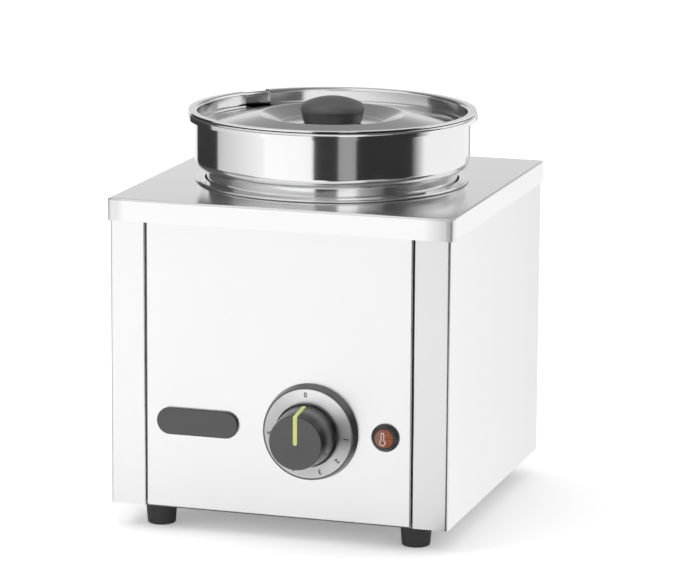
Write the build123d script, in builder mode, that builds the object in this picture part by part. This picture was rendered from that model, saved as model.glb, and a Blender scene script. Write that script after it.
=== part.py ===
from build123d import *
import os

# Square countertop bain-marie with one round lift-out pot, a lid, a dial control and a pilot lamp.
# Millimetres, +Z up, front towards -Y. The origin is on the table, under the middle of the cabinet.

# Cabinet sheets
cover_width = 240.0        # square top cover, over its skirts
cover_skirt = 15.0         # depth of the folded skirts
cover_wall = 0.9
cover_corner = 3.0         # radius of the cover's upright corners
cover_edge = 1.4           # radius where the plate turns down into the skirt
cover_seam = 0.5           # open slit where two skirts meet
skirt_gap = 0.7            # between a skirt and the wall behind it
cabinet_height = 210.0     # lower edge of the walls to the top of the cover
sheet = 0.8                # walls and panels
bend = 1.0                 # outside radius of a fold
column_width = 24.5        # side sheet that wraps round on to the front and the back
groove_width = 1.2         # open groove beside the front and rear panels
groove_depth = 8.0
rebate_width = 9.2         # flange behind the groove, which carries the panel
panel_tab = 6.2            # folded tab of the panel, which lies on the rebate
panel_gap = 0.6            # top of a panel to the underside of the cover
wall_flange = 14.0         # folded lower flange of a side panel
panel_flange = 24.0        # folded lower flange of a front or rear panel
base_sheet = 1.0
base_gap = 0.5             # edge of the base plate to the walls
vent_length = 46.0
vent_width = 5.0
vent_pitch = 12.0
vent_count = 5
vent_spread = 96.0         # between the two rows of vents

# Water well and its seal
water_gap = 3.5            # pot to the wall of the well, below the ledge
mouth_gap = 0.9            # pot to the wall of the well, above the ledge
well_wall = 0.8
well_depth = 126.0         # top of the cover to the floor of the well
well_corner = 12.0
ledge_depth = 6.0          # top of the cover to the ledge that carries the pot
ledge_bend = 1.2
lip_width = 6.6
lip_height = 2.4           # inner edge of the lip over the cover
lip_drop = 0.7             # fall of the lip to its outer edge
lip_edge = 0.05            # rolled-down edge over the cover
lip_roll = 1.5
mouth_clearance = 0.5      # well to the hole in the cover
seal_width = 2.2
seal_height = 1.1
seal_gap = 0.3

# Pot
pot_wall = 0.8
pot_radius = 94.6          # outside, above the shoulder
neck_inset = 8.3           # neck inside the pot's radius
step_width = 7.8           # step that stands on the ledge of the well
pot_lift = 12.0            # floor of the well to the underside of the pot
pot_corner = 10.0
shoulder_height = 9.5      # over the cover
shoulder_round = 6.0
neck_bend = 1.5
step_bend = 0.95
rim_overhang = 4.8         # rim over the pot's radius
rim_height = 48.0          # over the cover
rim_drop = 5.0             # turned-down edge of the rim
rim_round = 1.8
rim_bend = 2.0

# Lid
lid_wall = 0.8
lid_margin = 0.7           # edge of the flange to the edge of the pot's rim
lid_clearance = 0.6        # lid wall to the inside of the pot
lid_sink = 10.0            # flange to the sunk ring
sunk_ring_width = 7.5
crest_width = 13.0         # floor of the dish to the crest
crest_height = 6.9         # crest over the sunk ring
crest_round = 4.5
finger_space = 14.0        # knob to the edge of the flat floor of the finger dish
dish_round = 7.0
dish_height = 0.4          # floor of the dish over the sunk ring
ring_round = 3.0
lid_bend = 1.4
notch_angle = 142.3
notch_width = 20.8
notch_depth = 14.5         # from the lid's edge inwards
notch_round = 4.0
lid_hole = 2.75

# Lid knob
lid_knob_base = 20.0
lid_knob_radius = 22.0
lid_knob_lip = 0.3         # dome over the flank, all round
lid_knob_flank = 9.0       # height of the tapered flank
lid_knob_dome = 9.2        # height of the dome over the flank
lid_knob_brow = 3.4        # upright edge of the dome before it is rounded
lid_knob_brow_round = 4.5
lid_knob_round = 2.5       # lower edge of the flank
lid_screw_radius = 2.5
lid_screw_reach = 8.0      # into the knob
lid_screw_head = 4.6
lid_screw_head_height = 2.8
lid_washer_radius = 7.5
lid_washer_height = 1.0
thread_gap = 0.05

# Front controls
controls_height = 60.5     # axis of dial, lamp and badge over the lower edge of the walls
dial_share = 0.2524        # of the front panel's half width
bezel_radius = 33.0
bezel_front = 31.4
bezel_height = 7.0
bezel_wall = 2.0
bezel_bore = 12.0
bezel_round = 0.6
peg_spread = 27.5          # from the dial axis
peg_radius = 2.4
peg_pin = 1.6
peg_reach = 3.0
dial_plate_radius = 30.3
dial_plate_bore = 14.0
dial_plate_height = 0.5
dial_plate_gap = 0.1
knob_reach = 34.5          # front panel to the knob's face
knob_face = 18.1
knob_waist = 20.6
knob_base = 21.7
knob_band = 3.5            # straight band at the knob's foot
knob_step = 1.0
knob_lift = 1.0            # knob over the dial plate
knob_wall = 2.2
knob_cap = 3.0
knob_round = 1.0
knob_boss = 6.5
boss_lift = 2.5            # boss over the knob's foot
pointer_width = 2.8
pointer_wall = 0.9
pointer_proud = 0.15
pointer_foot = 14.5        # pointer's lower end, over the front panel
shaft_radius = 3.0
shaft_flat = 1.6           # flat of the D-shaft, from the axis
shaft_reach = 24.0         # over the front panel
shaft_tail = 18.0          # behind the front panel
shaft_clearance = 0.06

# Thermostat
thermostat_width = 36.0
thermostat_height = 34.0
thermostat_depth = 28.0
thermostat_round = 2.0
bush_radius = 4.9
bush_reach = 6.0
bush_clearance = 0.5
thermostat_screw_spread = 14.0
blade_width = 6.3
blade_thickness = 0.8
blade_length = 9.0
blade_pitch = 16.0
bulb_radius = 3.2
bulb_share = 0.595         # length of the bulb, as a share of the well's depth
bulb_foot = 24.8           # lower end of the bulb over the underside of the well
bulb_angle = -98.0
bulb_gap = 0.15
capillary_radius = 0.9
capillary_x = -10.0        # from the dial axis
capillary_rise = 12.0
capillary_bend = 5.0
clip_wall = 0.8
clip_height = 9.0
clip_span = 9.0            # degrees each side of the bulb
clip_pitch = 44.0

# Pilot lamp
lamp_share = 0.8101        # of the front panel's half width
lamp_radius = 9.5
lamp_flange = 1.3
lamp_height = 4.0
lamp_front = 7.7
lens_radius = 6.5
lens_gap = 0.1
lens_crown = 0.5
lamp_body = 5.9
lamp_bore = 4.6
lamp_tail = 20.0
lamp_floor = 1.5
lamp_nut_radius = 9.0
lamp_nut_height = 4.0
lamp_bulb_radius = 2.4
lamp_bulb_length = 14.0

# Badge plate
badge_margin = 7.75        # to the edge of the front panel
badge_width = 57.7
badge_height = 18.5
badge_thickness = 2.6
badge_round = 1.1
badge_pin = 1.2
badge_pin_spread = 38.0
badge_pin_reach = 3.0

# Heating
element_radius = 50.0
element_tube = 3.25
element_gap = 25.0         # degrees left open at the element's ends
element_turn = 9.0
element_leg = 14.0
element_lift = 0.1
clamp_wall = 2.0
clamp_arm = 18.0
clamp_reach = 56.0
clamp_hub = 14.0
cutout_offset = 27.0
cutout_cap = 9.2
cutout_body = 6.6
cutout_body_height = 9.0
stud_radius = 3.0
stud_length = 18.0
stud_nut_radius = 5.8
stud_nut_height = 5.0
seat_gap = 0.1

# Electrical inlet
gland_inset = 28.4         # gland to the foot beside it
gland_height = 34.0        # axis over the lower edge of the walls
gland_thread = 10.0
gland_bore = 6.0
gland_flange = 14.0        # hexagon, to its corners
gland_flange_height = 6.0
gland_spigot = 9.0         # threaded end that carries the dome nut
gland_spigot_length = 13.0
gland_tail = 10.0
gland_nut_radius = 13.6
gland_nut_height = 25.5
gland_nut_mouth = 5.5
gland_lip = 2.5
gland_seal_bore = 4.0
gland_seal_length = 10.0
locknut_radius = 14.0
locknut_height = 5.0
gland_clearance = 0.2
block_inset_x = 32.4       # middle of the block to the foot beside it
block_inset_y = 28.0
block_width = 38.0
block_depth = 20.0
block_height = 18.0
block_round = 1.5
block_pitch = 11.5
block_wire_bore = 2.2
block_screw_radius = 2.0
block_screw_length = 7.0
block_screw_sink = 2.0
block_fixing_spread = 23.0
earth_spread = 38.0        # from the terminal block
earth_inset = 12.0          # to the line of the rear feet
earth_radius = 2.5
earth_length = 22.0
earth_nut_radius = 4.6
earth_nut_height = 4.0
earth_nut_lift = 9.0       # second nut over the base plate

# Feet and fasteners
foot_height = 17.0         # table to the lower edge of the walls
foot_top = 11.0
foot_bottom = 9.5
foot_inset_side = 28.0     # foot axis to the side wall
foot_inset_front = 22.4    # foot axis to the front or rear wall
foot_round = 1.2
foot_recess = 5.0
foot_recess_depth = 8.0
m4_radius = 2.0
m4_hole = 2.2
m4_head = 3.8
m4_head_height = 2.6
m4_nut = 4.0
m4_nut_height = 3.2
m4_tip = 6.0               # screw past the base plate
tap_radius = 1.6
tap_hole = 1.7
tap_head = 3.0
tap_head_height = 2.0
tap_length = 5.0
panel_screw_heights = (30.0, 150.0)
base_screw_inset_side = 26.0   # to the line of the feet
base_screw_inset_front = 40.4
base_screw_inset = 9.0     # from the inner edge of a flange

# Places that follow from the sizes
base_z = foot_height
deck = foot_height + cabinet_height
body_half = cover_width / 2 - cover_wall - skirt_gap
wall_height = cabinet_height - cover_wall
groove_outer = body_half - column_width
panel_half = groove_outer - groove_width
rebate_y = body_half - groove_depth
rebate_end = groove_outer - rebate_width
tab_end = panel_half - panel_tab
panel_screw_x = (max(rebate_end, tab_end) + panel_half - sheet) / 2
base_low = base_z + sheet
base_top = base_low + base_sheet
foot_x = body_half - foot_inset_side
foot_y = body_half - foot_inset_front
dial_x = dial_share * panel_half
lamp_x = lamp_share * panel_half
badge_x = badge_margin + badge_width / 2 - panel_half
gland_x = gland_inset - foot_x
block_x = block_inset_x - foot_x
block_y = foot_y - block_inset_y
earth_x = block_x + earth_spread
earth_y = foot_y - earth_inset
base_screw_side = foot_y - base_screw_inset_side
base_screw_front = foot_x - base_screw_inset_front
foot_places = {
    "foot_front_left": (-foot_x, -foot_y),
    "foot_front_right": (foot_x, -foot_y),
    "foot_rear_left": (-foot_x, foot_y),
    "foot_rear_right": (foot_x, foot_y),
}
panel_flange_half = foot_x - foot_top - base_gap
side_flange_x = body_half - wall_flange + base_screw_inset / 2
panel_flange_y = body_half - panel_flange + base_screw_inset / 2
base_screw_places = [
    (x, y) for x in (-side_flange_x, side_flange_x) for y in (-base_screw_side, base_screw_side)
] + [
    (x, y) for x in (-base_screw_front, base_screw_front) for y in (-panel_flange_y, panel_flange_y)
]
cover_screw_x = groove_outer + column_width / 2
cover_screw_z = deck - cover_skirt / 2
neck_radius = pot_radius - neck_inset
pot_body_radius = neck_radius - step_width
rim_radius = pot_radius + rim_overhang
lid_radius = rim_radius - lid_margin
dish_radius = lid_knob_radius + finger_space
crest_radius = dish_radius + crest_width
well_radius = pot_body_radius + water_gap
well_mouth = neck_radius + mouth_gap
lip_radius = well_mouth + lip_width
pot_depth = well_depth - pot_lift
cover_hole = well_mouth + well_wall + mouth_clearance
well_underside = deck - well_depth - well_wall
ledge = deck - ledge_depth
rim = deck + rim_height
lid_seat = rim
sunk_ring = lid_seat - lid_sink
dish_floor = sunk_ring + dish_height
dish_top = dish_floor + lid_wall
flank_top = dish_top + lid_knob_flank
knob_hole = lid_screw_radius + thread_gap
knob_hole_depth = lid_screw_reach + seat_gap
lid_wall_radius = pot_radius - pot_wall - lid_clearance
control_z = base_z + controls_height
element_z = well_underside - element_lift - element_tube
clamp_top = element_z - element_tube - seat_gap
clamp_low = clamp_top - clamp_wall
block_top = base_top + block_height
gland_z = base_z + gland_height


def sheet_section(points, radii, wall, side):
    """Section of a sheet of even wall, folded along the points with a radius at each corner."""
    with BuildSketch() as section:
        with BuildLine():
            FilletPolyline(*points, radius=radii)
            offset(amount=wall, side=side)
        make_face()
    return section.sketch


def turned_section(points):
    """Closed outline of a turned or moulded piece, as radius and height along its axis."""
    with BuildSketch() as section:
        with BuildLine():
            Polyline(*points, close=True)
        make_face()
    return section.sketch


def facing_back(x, y, z):
    """Plane at a point, facing the back, with its own X along +X."""
    return Plane(origin=(x, y, z), x_dir=(1, 0, 0), z_dir=(0, 1, 0))


def front_face(x):
    """Plane on the front panel at control height: +X to the right, +Z up, facing out."""
    return Plane(origin=(x, -body_half, control_z), x_dir=(1, 0, 0), z_dir=(0, -1, 0))


def front_section(x):
    """Plane through an axis that stands out of the front panel: radius along X, reach along -Y."""
    return Plane(origin=(x, -body_half, control_z), x_dir=(1, 0, 0), z_dir=(0, 0, -1))


def front_axis(x):
    """Axis that stands straight out of the front panel at control height."""
    return Axis((x, -body_half, control_z), (0, -1, 0))


def keep(piece, name):
    """Name a finished piece and write it."""
    piece.part.label = name
    export_step(piece.part, f"parts/{name}.step")


os.makedirs("parts", exist_ok=True)

# Top cover: plate with four folded skirts, open slits at the corners and the hole for the well
with BuildPart() as top_cover:
    with BuildSketch(Plane.XY.offset(deck - cover_skirt)):
        RectangleRounded(cover_width, cover_width, cover_corner)
    extrude(amount=cover_skirt)
    fillet(top_cover.faces().sort_by(Axis.Z)[-1].edges(), cover_edge)
    offset(amount=-cover_wall, openings=top_cover.faces().sort_by(Axis.Z)[0])
    with Locations((0, 0, deck)):
        Hole(cover_hole)
    with BuildSketch(Plane.XY.offset(deck - cover_skirt)):
        for turn in (45, 135):
            Rectangle(2 * cover_width, cover_seam, rotation=turn)
    extrude(amount=cover_skirt - 2 * cover_edge, mode=Mode.SUBTRACT)
    with Locations(facing_back(0, cover_width / 2, cover_screw_z)):
        with GridLocations(2 * cover_screw_x, 0, 2, 1):
            Hole(tap_hole, depth=2 * cover_wall)
keep(top_cover, "top_cover")

# Side panels: one folded sheet each, wrapped round on to the front and the back
for side_name, hand in (("left", -1), ("right", 1)):
    with BuildPart() as side_panel:
        with BuildSketch(Plane.XY.offset(base_z)):
            half_path = [
                (hand * rebate_end, rebate_y),
                (hand * groove_outer, rebate_y),
                (hand * groove_outer, body_half),
                (hand * body_half, body_half),
            ]
            front_path = [(x, -y) for x, y in half_path]
            inner_side = Side.LEFT if hand > 0 else Side.RIGHT
            add(sheet_section(front_path + half_path[::-1], bend, sheet, inner_side))
        extrude(amount=wall_height)
        with BuildSketch(Plane.XY.offset(base_z)):
            with Locations((hand * (body_half - wall_flange / 2 - sheet / 2), 0)):
                Rectangle(wall_flange, 2 * (rebate_y - sheet - base_gap))
        extrude(amount=sheet)
        with Locations((hand * side_flange_x, 0, base_z)):
            with GridLocations(0, 2 * base_screw_side, 1, 2):
                Hole(tap_hole, depth=2 * sheet)
        for height in panel_screw_heights:
            with Locations(facing_back(hand * panel_screw_x, 0, base_z + height)):
                Hole(tap_hole, depth=body_half)
        with Locations(facing_back(hand * cover_screw_x, body_half, cover_screw_z)):
            Hole(tap_hole, depth=2 * sheet)
    keep(side_panel, f"side_panel_{side_name}")


def folded_panel(facing):
    """Front (-1) or rear (+1) panel: a shallow tray whose tabs lie on the rebates of the sides."""
    half_path = [(tab_end, rebate_y), (panel_half, rebate_y), (panel_half, body_half)]
    left_path = [(-x, facing * y) for x, y in half_path]
    right_path = [(x, facing * y) for x, y in half_path]
    inner_side = Side.LEFT if facing < 0 else Side.RIGHT
    with BuildPart() as panel:
        with BuildSketch(Plane.XY.offset(base_z)):
            add(sheet_section(left_path + right_path[::-1], bend, sheet, inner_side))
        extrude(amount=wall_height - panel_gap)
        with BuildSketch(Plane.XY.offset(base_z)):
            with Locations((0, facing * (body_half - panel_flange / 2 - sheet / 2))):
                Rectangle(2 * panel_flange_half, panel_flange)
        extrude(amount=sheet)
        with Locations((0, facing * panel_flange_y, base_z)):
            with GridLocations(2 * base_screw_front, 0, 2, 1):
                Hole(tap_hole, depth=2 * sheet)
        for height in panel_screw_heights:
            with Locations(facing_back(0, facing * rebate_y, base_z + height)):
                with GridLocations(2 * panel_screw_x, 0, 2, 1):
                    Hole(tap_hole, depth=2 * sheet)
    return panel.part


# Front panel, with its holes for the dial, the lamp and the badge plate
with BuildPart() as front_panel:
    add(folded_panel(-1))
    with Locations(front_face(dial_x)):
        Hole(bush_radius + bush_clearance, depth=2 * sheet)
        with GridLocations(2 * thermostat_screw_spread, 0, 2, 1):
            Hole(m4_hole, depth=2 * sheet)
        with PolarLocations(peg_spread, 2, start_angle=45):
            Hole(peg_pin + thread_gap, depth=2 * sheet)
    with Locations(front_face(lamp_x)):
        Hole(lamp_body + thread_gap, depth=2 * sheet)
    with Locations(front_face(badge_x)):
        with GridLocations(badge_pin_spread, 0, 2, 1):
            Hole(badge_pin + thread_gap, depth=2 * sheet)
keep(front_panel, "front_panel")

# Rear panel, with the hole for the cable gland
gland_face = facing_back(gland_x, body_half, gland_z)
with BuildPart() as rear_panel:
    add(folded_panel(1))
    with Locations(gland_face):
        Hole(gland_thread + gland_clearance, depth=2 * sheet)
keep(rear_panel, "rear_panel")

# Base plate, with vents, on the lower flanges
with BuildPart() as base_plate:
    with BuildSketch(Plane.XY.offset(base_low)):
        Rectangle(2 * (body_half - sheet - base_gap), 2 * (rebate_y - sheet - base_gap))
        with GridLocations(vent_spread, vent_pitch, 2, vent_count):
            SlotOverall(vent_length, vent_width, mode=Mode.SUBTRACT)
    extrude(amount=base_sheet)
    with Locations(*[(x, y, base_low) for x, y in foot_places.values()]):
        Hole(m4_hole, depth=2 * base_sheet)
    with Locations(*[(x, y, base_low) for x, y in base_screw_places]):
        Hole(tap_hole, depth=2 * base_sheet)
    with Locations((block_x, block_y, base_low)):
        with GridLocations(block_fixing_spread, 0, 2, 1):
            Hole(tap_hole, depth=2 * base_sheet)
    with Locations((earth_x, earth_y, base_low)):
        Hole(earth_radius + thread_gap, depth=2 * base_sheet)
keep(base_plate, "base_plate")

# Water well: drawn bowl with the ledge that carries the pot and a crowned lip over the cover
with BuildPart() as water_well:
    with BuildSketch(Plane.XZ):
        add(
            sheet_section(
                [
                    (0, deck - well_depth),
                    (well_radius, deck - well_depth),
                    (well_radius, ledge),
                    (well_mouth, ledge),
                    (well_mouth, deck + lip_height),
                    (lip_radius, deck + lip_height - lip_drop),
                    (lip_radius, deck + lip_edge),
                ],
                (well_corner, ledge_bend, ledge_bend, ledge_bend, lip_roll),
                well_wall,
                Side.RIGHT,
            )
        )
    revolve(axis=Axis.Z)
keep(water_well, "water_well")

# Seal ring under the lip of the well
with BuildPart() as well_seal:
    with BuildSketch(Plane.XY.offset(deck)):
        Circle(cover_hole + seal_gap + seal_width)
        Circle(cover_hole + seal_gap, mode=Mode.SUBTRACT)
    extrude(amount=seal_height)
keep(well_seal, "well_seal")

# Food pot: drawn, with the step that stands on the ledge, neck, round shoulder and turned-down rim
with BuildPart() as food_pot:
    with BuildSketch(Plane.XZ):
        add(
            sheet_section(
                [
                    (0, deck - pot_depth),
                    (pot_body_radius, deck - pot_depth),
                    (pot_body_radius, ledge),
                    (neck_radius, ledge),
                    (neck_radius, deck + shoulder_height),
                    (pot_radius, deck + shoulder_height),
                    (pot_radius, rim - pot_wall),
                    (rim_radius - pot_wall, rim - pot_wall),
                    (rim_radius - pot_wall, rim - rim_drop),
                ],
                (pot_corner, step_bend, step_bend, neck_bend, shoulder_round, rim_bend, rim_round),
                pot_wall,
                Side.LEFT,
            )
        )
    revolve(axis=Axis.Z)
keep(food_pot, "food_pot")

# Lid: pressed, with a flange on the rim, a sunk ring, a cone, a finger dish and a ladle notch
with BuildPart() as lid_shell:
    with BuildSketch(Plane.XZ):
        add(
            sheet_section(
                [
                    (0, dish_floor),
                    (dish_radius, dish_floor),
                    (crest_radius, sunk_ring + crest_height),
                    (lid_wall_radius - sunk_ring_width, sunk_ring),
                    (lid_wall_radius, sunk_ring),
                    (lid_wall_radius, lid_seat),
                    (lid_radius, lid_seat),
                ],
                (dish_round, crest_round, ring_round, lid_bend, lid_bend),
                lid_wall,
                Side.LEFT,
            )
        )
    revolve(axis=Axis.Z)
    with BuildSketch(Plane.XY.offset(sunk_ring).rotated((0, 0, notch_angle))):
        with Locations((lid_radius, 0)):
            RectangleRounded(2 * notch_depth, notch_width, notch_round)
    extrude(amount=lid_sink, both=True, mode=Mode.SUBTRACT)
    with Locations((0, 0, dish_floor)):
        Hole(lid_hole, depth=2 * lid_wall)
keep(lid_shell, "lid_shell")

# Lid knob: moulded dome over a tapered flank, screwed on from below
with BuildPart() as lid_knob:
    with BuildSketch(Plane.XZ) as knob_half:
        with BuildLine():
            Polyline(
                (0, flank_top + lid_knob_dome),
                (0, dish_top + knob_hole_depth),
                (knob_hole, dish_top + knob_hole_depth),
                (knob_hole, dish_top),
                (lid_knob_base, dish_top),
                (lid_knob_radius - lid_knob_lip, flank_top),
                (lid_knob_radius, flank_top),
                (lid_knob_radius, flank_top + lid_knob_brow),
            )
            TangentArc(
                (0, flank_top + lid_knob_dome),
                (lid_knob_radius, flank_top + lid_knob_brow),
                tangent=(1, 0),
            )
        make_face()
        fillet(knob_half.vertices().group_by(Axis.X)[-1].sort_by(Axis.Y)[-1], lid_knob_brow_round)
        fillet(knob_half.vertices().group_by(Axis.Y)[0].sort_by(Axis.X)[-1], lid_knob_round)
    revolve(axis=Axis.Z)
keep(lid_knob, "lid_knob")

# Washer and screw that hold the lid knob
with BuildPart() as lid_washer:
    with BuildSketch(Plane.XY.offset(dish_floor - lid_washer_height)):
        Circle(lid_washer_radius)
        Circle(lid_hole, mode=Mode.SUBTRACT)
    extrude(amount=lid_washer_height)
keep(lid_washer, "lid_washer")

with BuildPart() as lid_screw:
    with BuildSketch(Plane.XY.offset(dish_floor - lid_washer_height)):
        Circle(lid_screw_head)
    extrude(amount=-lid_screw_head_height)
    fillet(lid_screw.faces().sort_by(Axis.Z)[0].edges(), lid_screw_head_height / 2)
    with BuildSketch(Plane.XY.offset(dish_floor - lid_washer_height)):
        Circle(lid_screw_radius)
    extrude(amount=lid_washer_height + lid_wall + lid_screw_reach)
keep(lid_screw, "lid_screw")

# Dial bezel: moulded cap on the front panel with a seat for the dial plate and two snap pegs
with BuildPart() as dial_bezel:
    with BuildSketch(front_section(dial_x)):
        add(
            turned_section(
                [
                    (bezel_radius, 0),
                    (bezel_front, bezel_height),
                    (bezel_bore, bezel_height),
                    (bezel_bore, bezel_height - bezel_wall),
                    (bezel_front - bezel_wall, bezel_height - bezel_wall),
                    (bezel_radius - bezel_wall, 0),
                ]
            )
        )
    revolve(axis=front_axis(dial_x))
    fillet(dial_bezel.edges().group_by(Axis.Y)[0].sort_by(SortBy.LENGTH)[-1], bezel_round)
    with BuildSketch(front_face(dial_x).offset(bezel_height)):
        Circle(dial_plate_radius + dial_plate_gap)
    extrude(amount=-dial_plate_height, mode=Mode.SUBTRACT)
    with BuildSketch(front_face(dial_x)):
        with PolarLocations(peg_spread, 2, start_angle=45):
            Circle(peg_radius)
    extrude(amount=bezel_height - bezel_wall)
    with BuildSketch(front_face(dial_x)):
        with PolarLocations(peg_spread, 2, start_angle=45):
            Circle(peg_pin)
    extrude(amount=-peg_reach)
keep(dial_bezel, "dial_bezel")

# Dial plate: printed metal ring, let into the bezel
with BuildPart() as dial_plate:
    with BuildSketch(front_face(dial_x).offset(bezel_height - dial_plate_height)):
        Circle(dial_plate_radius)
        Circle(dial_plate_bore, mode=Mode.SUBTRACT)
    extrude(amount=dial_plate_height)
keep(dial_plate, "dial_plate")

# Pointer insert: strip over the knob's face and down its side
knob_foot = bezel_height + knob_lift
with BuildPart() as knob_pointer:
    with BuildSketch(front_section(dial_x).rotated((0, -90, 0))):
        add(
            sheet_section(
                [
                    (-pointer_width, knob_reach + pointer_proud),
                    (knob_face + pointer_proud, knob_reach + pointer_proud),
                    (knob_waist + pointer_proud, pointer_foot),
                ],
                knob_round + pointer_proud,
                pointer_wall,
                Side.RIGHT,
            )
        )
    extrude(amount=pointer_width / 2, both=True)
    with BuildSketch(front_face(dial_x)):
        SlotCenterPoint((0, knob_base), (0, 0), pointer_width)
    extrude(amount=knob_reach + pointer_wall, mode=Mode.INTERSECT)
keep(knob_pointer, "knob_pointer")

# Control shaft of the thermostat, with a flat where the knob pushes on
with BuildPart() as control_shaft:
    with BuildSketch(front_face(dial_x).offset(-shaft_tail)):
        Circle(shaft_radius)
    extrude(amount=shaft_tail + shaft_reach)
    with BuildSketch(front_face(dial_x).offset(knob_foot + boss_lift)):
        with Locations((0, -shaft_flat - shaft_radius)):
            Rectangle(2 * shaft_radius, 2 * shaft_radius)
    extrude(amount=shaft_reach, mode=Mode.SUBTRACT)
keep(control_shaft, "control_shaft")

# Control knob: hollow moulding with a central boss on the shaft and a slot for the pointer
with BuildPart() as control_knob:
    with BuildSketch(front_section(dial_x)) as knob_outline:
        add(
            turned_section(
                [
                    (0, knob_reach),
                    (knob_face, knob_reach),
                    (knob_waist, knob_foot + knob_band + knob_step),
                    (knob_base, knob_foot + knob_band),
                    (knob_base, knob_foot),
                    (knob_base - knob_wall, knob_foot),
                    (knob_face - knob_wall, knob_reach - knob_cap),
                    (knob_boss, knob_reach - knob_cap),
                    (knob_boss, knob_foot + boss_lift),
                    (0, knob_foot + boss_lift),
                ]
            )
        )
        fillet(knob_outline.vertices().sort_by(Axis.Y)[:2].sort_by(Axis.X)[-1], knob_round)
    revolve(axis=front_axis(dial_x))
    add(control_shaft.part, mode=Mode.SUBTRACT)
    add(knob_pointer.part, mode=Mode.SUBTRACT)
keep(control_knob, "control_knob")

# Thermostat: closed housing behind the front panel with a bush for the shaft and two blades
with BuildPart() as thermostat_body:
    with BuildSketch(front_face(dial_x).offset(-sheet)):
        RectangleRounded(thermostat_width, thermostat_height, thermostat_round)
    extrude(amount=-thermostat_depth)
    with BuildSketch(front_face(dial_x).offset(-sheet)):
        Circle(bush_radius)
    extrude(amount=sheet + bush_reach)
    with BuildSketch(front_face(dial_x).offset(-sheet - thermostat_depth)):
        with GridLocations(blade_pitch, 0, 2, 1):
            Rectangle(blade_thickness, blade_width)
    extrude(amount=-blade_length)
    with BuildSketch(front_face(dial_x).offset(-shaft_tail - seat_gap)):
        Circle(shaft_radius + shaft_clearance)
    extrude(amount=shaft_tail + seat_gap + bush_reach, mode=Mode.SUBTRACT)
    with Locations(front_face(dial_x).offset(-sheet)):
        with GridLocations(2 * thermostat_screw_spread, 0, 2, 1):
            Hole(m4_radius + thread_gap, depth=m4_tip + seat_gap)
keep(thermostat_body, "thermostat_body")

with BuildPart() as thermostat_screws:
    with BuildSketch(front_face(dial_x)):
        with GridLocations(2 * thermostat_screw_spread, 0, 2, 1):
            Circle(m4_head)
    extrude(amount=m4_head_height)
    with BuildSketch(front_face(dial_x)):
        with GridLocations(2 * thermostat_screw_spread, 0, 2, 1):
            Circle(m4_radius)
    extrude(amount=-sheet - m4_tip)
keep(thermostat_screws, "thermostat_screws")

# Sensing bulb against the wall of the well, and the capillary tube that leads to it
bulb_track = well_radius + well_wall + bulb_gap + bulb_radius
bulb_z = well_underside + bulb_foot
bulb_length = bulb_share * well_depth
bulb_spot = Plane.XY.rotated((0, 0, bulb_angle)).from_local_coords((bulb_track, 0, bulb_z))
thermostat_top = control_z + thermostat_height / 2
capillary_y = -body_half + sheet + thermostat_depth / 2
with BuildPart() as sensing_bulb:
    with BuildSketch(Plane.XY.offset(bulb_z)):
        with Locations((bulb_spot.X, bulb_spot.Y)):
            Circle(bulb_radius)
    extrude(amount=bulb_length)
    fillet(sensing_bulb.faces().sort_by(Axis.Z)[-1].edges(), bulb_radius / 2)
    fillet(sensing_bulb.faces().sort_by(Axis.Z)[0].edges(), bulb_radius / 2)
keep(sensing_bulb, "sensing_bulb")

with BuildPart() as capillary_tube:
    with BuildLine() as capillary_path:
        FilletPolyline(
            (dial_x + capillary_x, capillary_y, thermostat_top),
            (dial_x + capillary_x, capillary_y, thermostat_top + capillary_rise),
            (bulb_spot.X, bulb_spot.Y, bulb_z - capillary_rise),
            (bulb_spot.X, bulb_spot.Y, bulb_z),
            radius=capillary_bend,
        )
    with BuildSketch(Plane.XY.offset(thermostat_top)):
        with Locations((dial_x + capillary_x, capillary_y)):
            Circle(capillary_radius)
    sweep()
keep(capillary_tube, "capillary_tube")

# Two spring clips, welded to the well, that hold the bulb
with BuildPart() as bulb_clips:
    clip_radius = well_radius + well_wall
    clip_heights = [bulb_z + bulb_length / 2 + step * clip_pitch / 2 for step in (-1, 1)]
    for clip_z in clip_heights:
        with BuildSketch(Plane.XY.offset(clip_z - clip_height / 2).rotated((0, 0, bulb_angle))):
            with BuildLine():
                outer_arc = CenterArc((0, 0), clip_radius + clip_wall, -clip_span, 2 * clip_span)
                inner_arc = CenterArc((0, 0), clip_radius, -clip_span, 2 * clip_span)
                Line(outer_arc @ 0, inner_arc @ 0)
                Line(outer_arc @ 1, inner_arc @ 1)
            make_face()
            with Locations((bulb_track, 0)):
                Circle(bulb_radius + seat_gap + clip_wall)
                Circle(bulb_radius + seat_gap, mode=Mode.SUBTRACT)
            Circle(clip_radius, mode=Mode.SUBTRACT)
        extrude(amount=clip_height)
keep(bulb_clips, "bulb_clips")

# Pilot lamp: bezel with its body, nut, bulb and lens
with BuildPart() as lamp_bezel:
    with BuildSketch(front_section(lamp_x)):
        add(
            turned_section(
                [
                    (lamp_radius, 0),
                    (lamp_radius, lamp_flange),
                    (lamp_front, lamp_height),
                    (lens_radius + lens_gap, lamp_height),
                    (lens_radius + lens_gap, lamp_flange),
                    (lamp_bore, lamp_flange),
                    (lamp_bore, lamp_floor - lamp_tail),
                    (0, lamp_floor - lamp_tail),
                    (0, -lamp_tail),
                    (lamp_body, -lamp_tail),
                    (lamp_body, 0),
                ]
            )
        )
    revolve(axis=front_axis(lamp_x))
keep(lamp_bezel, "lamp_bezel")

with BuildPart() as lamp_lens:
    with BuildSketch(front_face(lamp_x).offset(lamp_flange)):
        Circle(lens_radius)
    extrude(amount=lamp_height - lamp_flange + lens_crown)
    fillet(lamp_lens.faces().sort_by(Axis.Y)[0].edges(), lens_crown)
keep(lamp_lens, "lamp_lens")

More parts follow.
